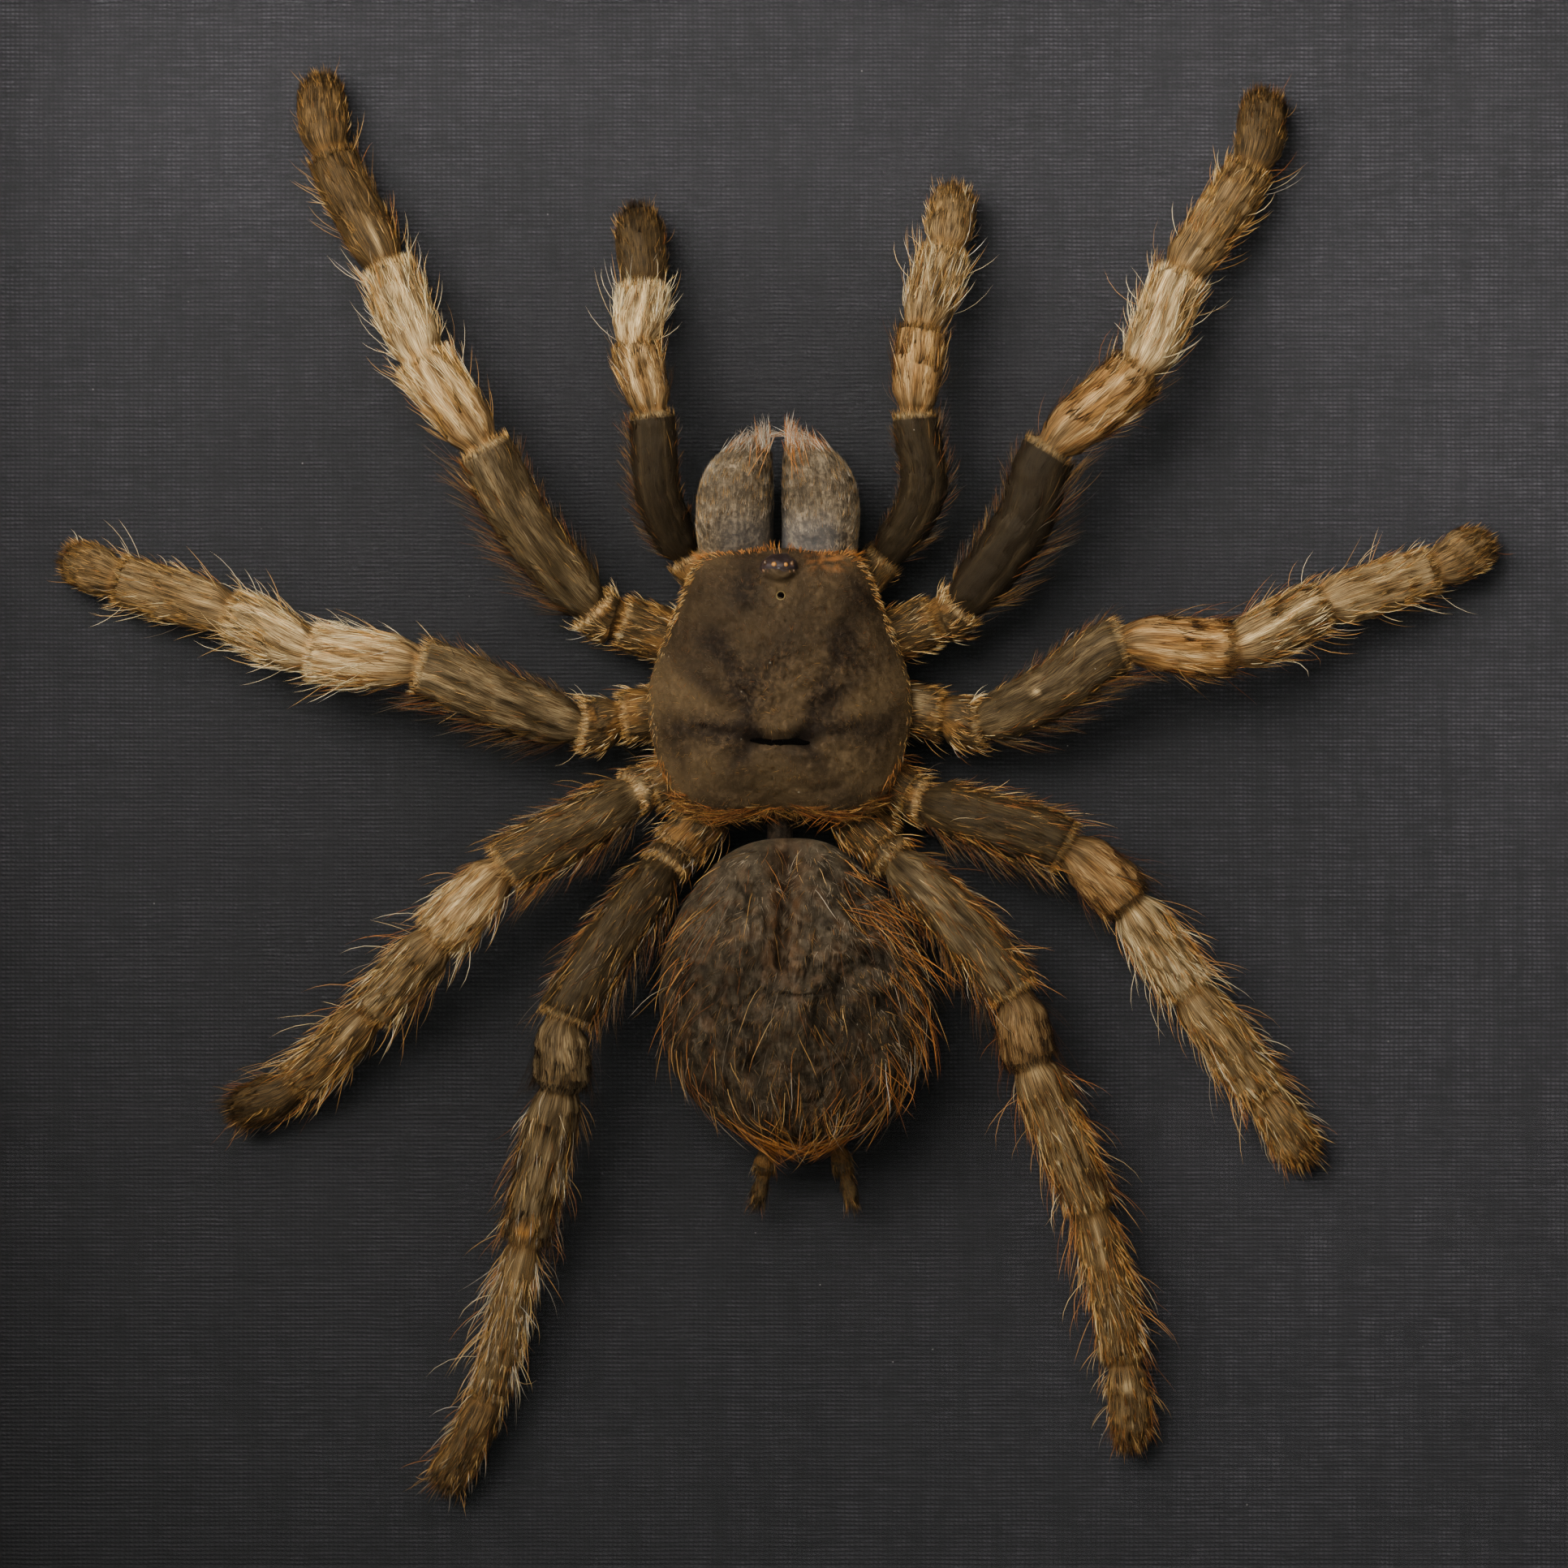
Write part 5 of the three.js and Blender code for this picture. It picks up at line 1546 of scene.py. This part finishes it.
def rearward(root):
    """Back along the body, drawing together behind the spinnerets."""
    back = smooth_step(-root[:, 1], 20.0, 31.0)
    spread = 0.05 * (root[:, 0] - 0.9) * (1 - back) * smooth_step(-root[:, 1], 2.0, 6.0)
    drawn_in = -0.16 * (root[:, 0] - 1.2) * back
    return np.stack([spread + drawn_in, -np.ones(len(root)), np.zeros(len(root))], 1)


def abdomen_down(coat, dome):
    """Short hair, greyer in front, with painted shade in the seam and painted light from the relief's
    slope: paler where it faces the top of the card, darker where it faces away.
    """
    number = ABDOMEN_DOWN
    angle = rng.uniform(0, 2 * math.pi, number)
    share = np.sqrt(rng.uniform(0.0, 0.99, number))
    root, outward = dome.surface(angle, share)
    front = smooth_step(root[:, 1], -20.0, -8.0)
    grey = rng.uniform(size=number) < 0.50 + 0.3 * front
    seam_away, _ = to_line(root, SEAM_START, SEAM_END)
    # Painted light: the tone follows the relief's slope, paler where it faces the top of the card and
    # darker where it faces away; the seam gets painted shade.
    fold = abdomen_relief(root) - abdomen_relief(root + (0.0, 0.8, 0.0))
    tone = np.where(grey, 0.40, 0.34) + 0.5 * np.clip(fold, -0.5, 0.5) + 0.03 * waves(root, 1.6, 61)
    tone = tone + rng.normal(0, 0.07, number) + 0.18 * front - 0.2 * bell(seam_away, 0.8)
    tone = tone - 0.07 * smooth_step(-root[:, 0], 1.0, 8.0) + 0.04 * smooth_step(root[:, 0], 3.0, 9.0)
    coat.plant(root, outward, rearward(root), 1, length=even(0.6, 1.8), half=even(0.015, 0.023),
               lift=even(3, 20), fall=about(0, 8), yaw=about(16 * waves(root, 2.6, 62), 10), curl=0,
               tone=np.clip(tone, 0.05, 0.8), family=np.where(grey, ASH, STRAW))


def abdomen_long_hair(coat, dome):
    """Long hair, thick along the sides and behind and thin on top."""
    angle = rng.uniform(0, 2 * math.pi, ABDOMEN_LONG)
    share = rng.beta(2.0, 1.1, ABDOMEN_LONG) * 0.99
    root, outward = dome.surface(angle, share)
    crowd = 0.09 + 0.9 * smooth_step(share, 0.6, 0.92) * (0.45 + 0.55 * smooth_step(root[:, 0], -2, 8))
    crowd = np.maximum(crowd, 0.8 * smooth_step(-root[:, 1], 24.0, 28.0))
    crowd = crowd * (1 - 0.45 * smooth_step(root[:, 1], -9.0, -6.0))
    keep = rng.uniform(size=ABDOMEN_LONG) < crowd
    root, outward = root[keep], outward[keep]
    number = len(root)
    tone = rng.normal(0.48, 0.16, number) + 0.06 * waves(root, 3.0, 63)
    family = rng.choice((RUST, STRAW, ASH), number, p=(0.40, 0.35, 0.25))
    coat.plant(root, outward, rearward(root), 5, length=even(2.2, 5.6), half=even(0.022, 0.034),
               lift=even(8, 24), fall=about(-8, 11), yaw=about(11 * waves(root, 4.2, 64), 6),
               curl=about(0, 13), tone=np.clip(tone, 0.12, 0.97), family=family, wave=0.10)


def side_tuft(coat, dome, x, y, aim_x, aim_y, number):
    """A tuft of long orange hair that sticks out of one side."""
    place = np.array((x, y)) + rng.normal(0, (0.9, 1.1), (number, 2))
    away = place - dome.centre
    angle = np.arctan2(away[:, 1], away[:, 0])
    share = np.minimum(np.hypot(*away.T) / dome.reach_at(angle), 0.97)
    root, outward = dome.surface(angle, share)
    coat.plant(root, outward, (aim_x, aim_y, 0.0), 6, length=even(3.6, 7.0), half=even(0.026, 0.038),
               lift=even(6, 20), fall=about(2, 8), yaw=about(0, 10), curl=about(-14, 12),
               tone=about(0.60, 0.14, 0.2, 0.97), family=RUST)


def hind_sweep(coat, side, origin_x, number):
    """Orange hair that sweeps from one side of the hind end in over the spinnerets."""
    x = origin_x + side * rng.uniform(-2.6, 1.6, number)
    y = -28.9 + rng.normal(0, 0.6, number) + 0.12 * np.abs(x - 1.4)
    root = np.stack([x, y, rng.uniform(7.5, 11.5, number)], 1)
    aim = np.stack([1.5 - x + rng.normal(0, 0.4, number), -32.6 - y, rng.normal(-1, 0.6, number)], 1)
    reach = np.linalg.norm(aim, axis=1)
    coat.plant(root, unit(np.array((0.0, -0.5, 0.85))), aim, 6, length=times(reach, even(0.75, 1.1)),
               half=even(0.036, 0.05), lift=about(6, 6), fall=about(-6, 8), yaw=about(side * 14, 6),
               curl=about(-side * 26, 8), tone=about(0.68, 0.14, 0.2, 0.97), family=RUST)


def build_abdomen():
    dome = Dome(ABDOMEN_MIDDLE, ABDOMEN_OUTLINE, rim_height=8.9, rise=7.4, drop=7.3, power=(2.2, 0.6),
                relief=abdomen_relief)
    dome.skin("abdomen_skin", ("abdomen",), ABDOMEN_SKIN, ABDOMEN_MESH, abdomen_marks)
    coat = Coat()
    abdomen_down(coat, dome)
    abdomen_long_hair(coat, dome)
    for tuft in SIDE_TUFTS:
        side_tuft(coat, dome, *tuft)
    for sweep in HIND_SWEEPS:
        hind_sweep(coat, *sweep)
    coat.finish("abdomen_hair")


# ---------------- chelicerae

class Chelicera:
    """A half dome of a jaw: straight on its inner side and round on its outer side."""

    BASE, FRONT = 18.9, 29.8

    def __init__(self, inner, side, width):
        self.inner = inner
        self.side = side
        self.width = width

    def surface(self, share, turn):
        """Points at a share of the way forward and a turn round, with 0.25 on top."""
        rounding = np.sqrt(np.clip(1 - np.clip(share, 0, 1) ** 5.8, 0, 1))
        outer = self.width * rounding * (0.94 + 0.06 * np.sin(math.pi * np.clip(share * 1.2, 0, 1)))
        inner = 0.05 + 0.45 * share ** 8
        half = np.maximum(outer - inner, 0.02) / 2
        middle = self.inner + self.side * (outer + inner) / 2
        angle = 2 * math.pi * turn
        thick = 3.1 * rounding * (0.42 + 0.58 * smooth_step(share, -0.12, 0.42))
        flat = np.sign(np.cos(angle)) * np.abs(np.cos(angle)) ** 0.8
        x = middle - half * flat
        deep = smooth_step(-np.sin(angle), -0.1, 0.6) * np.clip(self.side * flat, 0, 1) * rounding
        x = x - self.side * 0.44 * deep
        z = 8.2 + 0.7 * smooth_step(share, 0.0, 0.4) - 1.6 * share ** 2.2 + thick * np.sin(angle)
        y = self.BASE + (self.FRONT - self.BASE) * share
        points = np.stack([x, y, z], -1)
        points = points + 0.05 * waves(points, 2.0, 71)[:, None] * (0, 0, 1)
        return points

    def with_outward(self, share, turn):
        here = self.surface(share, turn)
        onward = self.surface(np.minimum(share + 0.01, 0.999), turn)
        turned = self.surface(share, turn + 0.01)
        return here, unit(np.cross(turned - here, onward - here)), unit(onward - here)


# The strands of a jaw: its down, the fringe of its front edge, and its bristles by side.
JAW_DOWN = 7000
JAW_FRINGE = 330
JAW_BRISTLES = {-1: 4, 1: 13}


def jaw_skin(jaw, name):
    """The closed skin of a jaw, grey at its base, with painted shade along its inner side, in the gap
    between the jaws.
    """
    rings, sides = JAW_MESH
    share = np.repeat(np.sin(np.linspace(0.01, 0.995, rings) * math.pi / 2), sides)
    turn = np.tile(np.arange(sides) / sides, rings)
    points = jaw.surface(share, turn)
    points = np.concatenate([points, [points[:sides].mean(0), points[-sides:].mean(0)]])
    on_left, on_right = jaw.side < 0, jaw.side > 0
    from_inner = np.abs(points[:, 0] - jaw.inner) / jaw.width
    # Painted shade: the inner side darkens, as the gap between the jaws is shaded.
    base_grey = (1 - smooth_step(points[:, 1], 21.0, 24.5)) * (1 - smooth_step(from_inner, 0.5, 0.9))
    gap_shade = 0.8 * (1 - smooth_step(from_inner, 0.02, 0.1))
    shade = 0.35 * on_right * smooth_step(waves(points[:, :2], 3.5, 74), -0.8, 1.0)
    shade = shade + 0.55 * on_left * base_grey
    pale = (0.12 + 0.15 * on_right) * base_grey
    marks = np.stack([pale, np.maximum(gap_shade, shade), np.zeros(len(points))], 1)
    faces, uv = tube_faces(rings, sides)
    new_piece(name + "_skin", points, faces, JAW_SKIN, replaces=(name,), uv=uv,
              marks=marks)


def jaw_down(coat, jaw):
    """Short combed hair, grey at the base and cream towards the outer front."""
    number = JAW_DOWN
    share = rng.uniform(0.03, 0.985, number) ** 0.9
    turn = 0.25 + (rng.beta(1.5, 1.5, number) - 0.5) * 0.68
    root, outward, forward = jaw.with_outward(share, turn)
    on_left = jaw.side < 0
    from_inner = np.abs(root[:, 0] - jaw.inner) / jaw.width
    grey = (1 - smooth_step(root[:, 1], 21.0, 24.2)) * (1 - smooth_step(from_inner, 0.55, 0.95))
    cream = smooth_step(root[:, 1], 23.8, 27.5) * smooth_step(from_inner, 0.55, 0.85)
    tone = 0.52 - 0.06 * (not on_left) + (-0.17 if on_left else 0.12) * grey
    tone = tone + 0.32 * (1.0 if on_left else 0.3) * cream + 0.04 * waves(root, 1.6, 72)
    tone = tone + rng.normal(0, 0.10, number)
    ashen = rng.uniform(size=number) < 0.7 + 0.3 * grey
    tone = np.where(ashen, tone + 0.05, tone - 0.02)
    coat.plant(root, outward, forward, 1, length=times(1 - 0.4 * grey, even(0.6, 1.4)),
               half=times(0.026, even(0.8, 1.3)), lift=even(3, 12), fall=about(2, 5),
               yaw=about(7 * waves(root, 2.0, 73), 7), curl=0, tone=np.clip(tone, 0.08, 0.95),
               family=np.where(ashen, ASH, STRAW))


def jaw_fringe(coat, jaw):
    """Longer hair that stands out over the front edge."""
    number = JAW_FRINGE
    share = rng.uniform(0.86, 0.995, number)
    turn = 0.25 + rng.normal(0, 0.12, number)
    root, outward, forward = jaw.with_outward(share, turn)
    reddish = rng.uniform(size=number) < (0.25 if jaw.side < 0 else 0.4)
    tone = np.where(reddish, rng.normal(0.62, 0.14, number), rng.normal(0.78, 0.12, number))
    coat.plant(root, outward, forward * 0.4 + (-0.12 * jaw.side, 1.0, 0.0), 4, length=even(0.9, 3.0),
               half=times(0.026, even(0.8, 1.3)), lift=even(6, 30), fall=even(-10, 18),
               yaw=about(0, 10), curl=about(0, 20), tone=np.clip(tone, 0.2, 0.97),
               family=np.where(reddish, RUST, ASH))


def jaw_bristles(coat, jaw):
    """A few long bristles, which lean in over the gap between the jaws."""
    number = JAW_BRISTLES[jaw.side]
    share = rng.uniform(0.62, 0.84, number)
    turn = 0.25 - jaw.side * rng.uniform(0.02, 0.13, number)
    root, outward, _ = jaw.with_outward(share, turn)
    forward = np.stack([-jaw.side * rng.uniform(0.1, 0.5, number), np.ones(number), np.zeros(number)], 1)
    coat.plant(root, outward, forward, 6, length=even(3.2, 5.2), half=0.034, lift=even(8, 18),
               fall=even(-12, 8), yaw=about(0, 8), curl=about(0, 14), tone=even(0.66, 0.85), family=RUST)


def build_chelicera(name, inner, side, width):
    jaw = Chelicera(inner, side, width)
    jaw_skin(jaw, name)
    coat = Coat()
    jaw_down(coat, jaw)
    jaw_fringe(coat, jaw)
    jaw_bristles(coat, jaw)
    coat.finish(name + "_hair")


# ---------------- stage

FLOOR_HALF = 4.0
WORLD_LIGHT = 0.15
# Each lamp: name, place, what it points at, size, power, spread in degrees and colour.
LAMPS = (
    ("key", (-0.25, -0.52, 0.48), (0.0, 0.0, 0.47), 0.5, 3.3, 74, (1.0, 0.98, 0.95)),
    ("fill", (0.60, -1.2, 0.44), (0.0, 0.0, 0.1), 0.8, 0.55, 180, (0.97, 0.97, 1.0)),
    ("back", (0.5, 1.4, 1.2), (0.0, 0.0, 0.1), 1.0, 14.0, 180, (1.0, 0.99, 0.97)),
    ("left", (-1.5, 0.5, 0.7), (0.0, 0.0, 0.1), 1.0, 7.0, 180, (1.0, 0.99, 0.97)),
    ("right", (1.5, 0.3, 0.7), (0.0, 0.0, 0.1), 1.0, 7.0, 180, (1.0, 0.99, 0.97)),
)


def stage():
    floor_mesh = bpy.data.meshes.new("floor")
    corners = [(x * FLOOR_HALF, y * FLOOR_HALF, 0) for x, y in ((-1, -1), (1, -1), (1, 1), (-1, 1))]
    floor_mesh.from_pydata(corners, [], [(0, 1, 2, 3)])
    floor = bpy.data.objects.new("floor", floor_mesh)
    bpy.context.scene.collection.objects.link(floor)
    material, wiring = new_material("floor")
    finished(material, wiring, {"Base Color": (0.72, 0.71, 0.69, 1), "Roughness": 0.85})
    floor_mesh.materials.append(material)

    world = bpy.data.worlds.new("studio")
    world.use_nodes = True
    background = world.node_tree.nodes["Background"].inputs
    background["Color"].default_value = (1.0, 0.99, 0.97, 1)
    background["Strength"].default_value = WORLD_LIGHT
    bpy.context.scene.world = world

    for name, place, target, size, power, spread, colour in LAMPS:
        light = bpy.data.lights.new(name, "AREA")
        light.size = size
        light.energy = power
        light.spread = math.radians(spread)
        light.color = colour
        lamp = bpy.data.objects.new(name, light)
        lamp.location = place
        lamp.rotation_euler = (Vector(target) - Vector(place)).to_track_quat("-Z", "Y").to_euler()
        bpy.context.scene.collection.objects.link(lamp)


CAMERA_DISTANCE = 1.5
SENSOR = 36
# The view is VIEW_WIDTH wide in the plane that halves the spider's height off the card.
SPIDER_MIDDLE = 5 * MM


def camera():
    """A long lens square on to the card, as wide as the part of it that holds the spider."""
    data = bpy.data.cameras.new("camera")
    data.sensor_width = SENSOR
    data.lens = SENSOR * CAMERA_DISTANCE / (VIEW_WIDTH * MM)
    data.clip_end = 20
    seen_from = bpy.data.objects.new("camera", data)
    seen_from.location = (0, CARD_FACE - SPIDER_MIDDLE - CAMERA_DISTANCE, CARD_MIDDLE)
    seen_from.rotation_euler = (math.pi / 2, 0, 0)
    bpy.context.scene.collection.objects.link(seen_from)
    bpy.context.scene.camera = seen_from


# ---------------- building

stage()
camera()

HAIR = hair_finish()
LIMB_SKIN = limb_finish()
CARAPACE_SKIN = dried_skin(
    "carapace_skin", ((0.0075, 0.0042, 0.0030), (0.0182, 0.0105, 0.0057), (0.055, 0.034, 0.0168)),
    pale=(0.125, 0.078, 0.033), dark=(0.0055, 0.0028, 0.0022), warm=(0.55, 0.19, 0.035), roughness=0.7,
    blotches=170.0, wrinkles=(900.0, 900.0, 750.0), grains=2500.0, grain_share=0.50)
ABDOMEN_SKIN = dried_skin(
    "abdomen_skin", ((0.013, 0.0083, 0.0053), (0.030, 0.0208, 0.0112), (0.068, 0.049, 0.0310)),
    pale=(0.15, 0.115, 0.070), dark=(0.006, 0.0036, 0.0022), warm=(0.22, 0.080, 0.020), roughness=0.66,
    blotches=220.0, wrinkles=(1500.0, 1500.0, 420.0), grains=2300.0, grain_share=0.28)
JAW_SKIN = dried_skin(
    "jaw_skin", ((0.040, 0.028, 0.016), (0.100, 0.072, 0.042), (0.24, 0.18, 0.11)),
    pale=(0.20, 0.20, 0.205), dark=(0.006, 0.0045, 0.0035), warm=(0.3, 0.12, 0.04), roughness=0.66,
    blotches=260.0, wrinkles=(2000.0, 2000.0, 420.0), grains=2600.0, grain_share=0.35)
SHADED_SKIN = dried_skin(
    "underside_skin", ((0.005, 0.003, 0.002), (0.013, 0.008, 0.005), (0.036, 0.023, 0.014)),
    pale=(0.15, 0.11, 0.07), dark=(0.008, 0.005, 0.004), warm=(0.25, 0.1, 0.03), roughness=0.7,
    blotches=300.0, wrinkles=(1100.0, 1100.0, 800.0), grains=2600.0, grain_share=0.4)
finish_kept_parts()

# How a limb differs: the roll of its stripes, its shares of rust and ash hair, the gilt of its
# patella, its fringed side, where its tibia's stripes run from the top, how much paler or darker
# its femur, patella, tibia, metatarsus and tarsus are, and its blemishes: x, y, radius, mark
# (0 pale, 1 dark, 2 warm) and strength.
Look = namedtuple("Look", "roll rust ash gilt fringe tibia_lines shades blemishes")
SHADED = ("femur", "patella", "tibia", "metatarsus", "tarsus")
BOTH_LINES = (-0.05, 0.05)
LEG_LOOKS = {
    "leg_1_left": Look(0.01, 0.05, 0.03, 0.25, 0.0, (0.045,), (0.05, 0.07, 0.20, -0.15, -0.08), ()),
    "leg_2_left": Look(0.02, 0.05, 0.03, 0.25, 0.0, (0.06,), (0.10, 0.22, 0.10, 0.10, 0.05), ()),
    "leg_3_left": Look(0.0, 0.14, 0.12, 0.25, 0.0, (), (0.03, 0.06, -0.10, -0.05, -0.20),
                       ((-30.5, -11.6, 0.9, 0, 0.45), (-34.7, -20.9, 0.4, 2, 1.0),
                        (-12.4, -0.6, 0.9, 0, 0.45))),
    "leg_4_left": Look(0.0, 0.16, 0.30, 0.2, 0.0, (), (-0.04, -1.2, -0.25, 0.05, -0.04),
                       ((-22.4, -38.6, 0.9, 2, 1.0), (-25.6, -51.4, 0.35, 1, 1.0),
                        (-19.8, -25.3, 0.45, 1, 1.0), (-18.6, -25.1, 0.45, 1, 1.0))),
    "leg_1_right": Look(0.0, 0.10, 0.02, 0.8, 0.5, BOTH_LINES, (-0.33, -0.42, 0.12, 0.05, -0.17), ()),
    "leg_2_right": Look(-0.02, 0.18, 0.02, 0.8, 0.5, (-0.02,), (0.04, -0.36, 0.02, 0.17, 0.05),
                        ((11.5, 7.1, 0.9, 0, 0.35), (21.6, 7.9, 0.3, 0, 0.5))),
    "leg_3_right": Look(0.0, 0.26, 0.05, 0.9, 0.5, (), (-0.06, -0.58, 0.27, 0.08, 0.05),
                        ((30.2, -9.1, 0.5, 2, 1.0),)),
    "leg_4_right": Look(0.0, 0.38, 0.04, 0.9, 0.5, (), (0.05, -0.69, -0.05, 0.03, 0.05),
                        ((21.6, -24.4, 0.7, 0, 0.5), (29.7, -52.0, 0.5, 0, 0.5),
                         (30.1, -55.2, 0.2, 0, 0.6))),
}
# How much narrower than the others a leg's segments are, from the coxa to the tarsus.
LEG_WIDTHS = {
    "leg_4_left": np.array((1.0, 1.0, 1.0, 1.0, 0.95, 0.78, 0.88)),
    "leg_3_left": np.array((1.0, 1.0, 1.0, 1.0, 0.95, 0.92, 0.92)),
    "leg_4_right": np.array((1.0, 1.0, 0.95, 0.95, 0.95, 0.88, 0.85)),
}
PALP_LOOKS = {
    "pedipalp_left": Look(0.0, 0.06, 0.10, 0.35, 0.0, (0.0,), (-0.28, -0.34, 0.36, 0.0, -0.23), ()),
    "pedipalp_right": Look(0.0, 0.06, 0.12, 0.7, 0.5, (), (-0.25, -0.43, 0.04, 0.0, 0.04), ()),
}
SPINNERET_LOOK = Look(0.0, 0.08, 0.3, 0.0, 0.0, (), (0.0, 0.0, 0.0, 0.0, -0.12), ())
for leg_name, joints in LEG_JOINTS.items():
    leg = Limb(leg_name, joints, LEG_HEIGHTS, LEG_SEGMENTS, LEG_WIDTHS.get(leg_name, 1.0))
    build_limb(leg, LEG_LOOKS[leg_name], LEG_MESH, HIND_COAT if leg_name[4] in "34" else FRONT_COAT)
for palp_name, joints in PALP_JOINTS.items():
    palp = Limb(palp_name, joints, PALP_HEIGHTS, PALP_SEGMENTS)
    build_limb(palp, PALP_LOOKS[palp_name], PALP_MESH, PALP_COAT)
for spinneret_name, joints in SPINNERET_JOINTS.items():
    spinneret = Limb(spinneret_name, joints, SPINNERET_HEIGHTS, SPINNERET_SEGMENTS)
    build_limb(spinneret, SPINNERET_LOOK, SPINNERET_MESH, SPINNERET_COAT)
build_carapace()
build_abdomen()
build_chelicera("chelicera_left", -1.0, -1, 6.55)
build_chelicera("chelicera_right", -0.1, 1, 6.6)
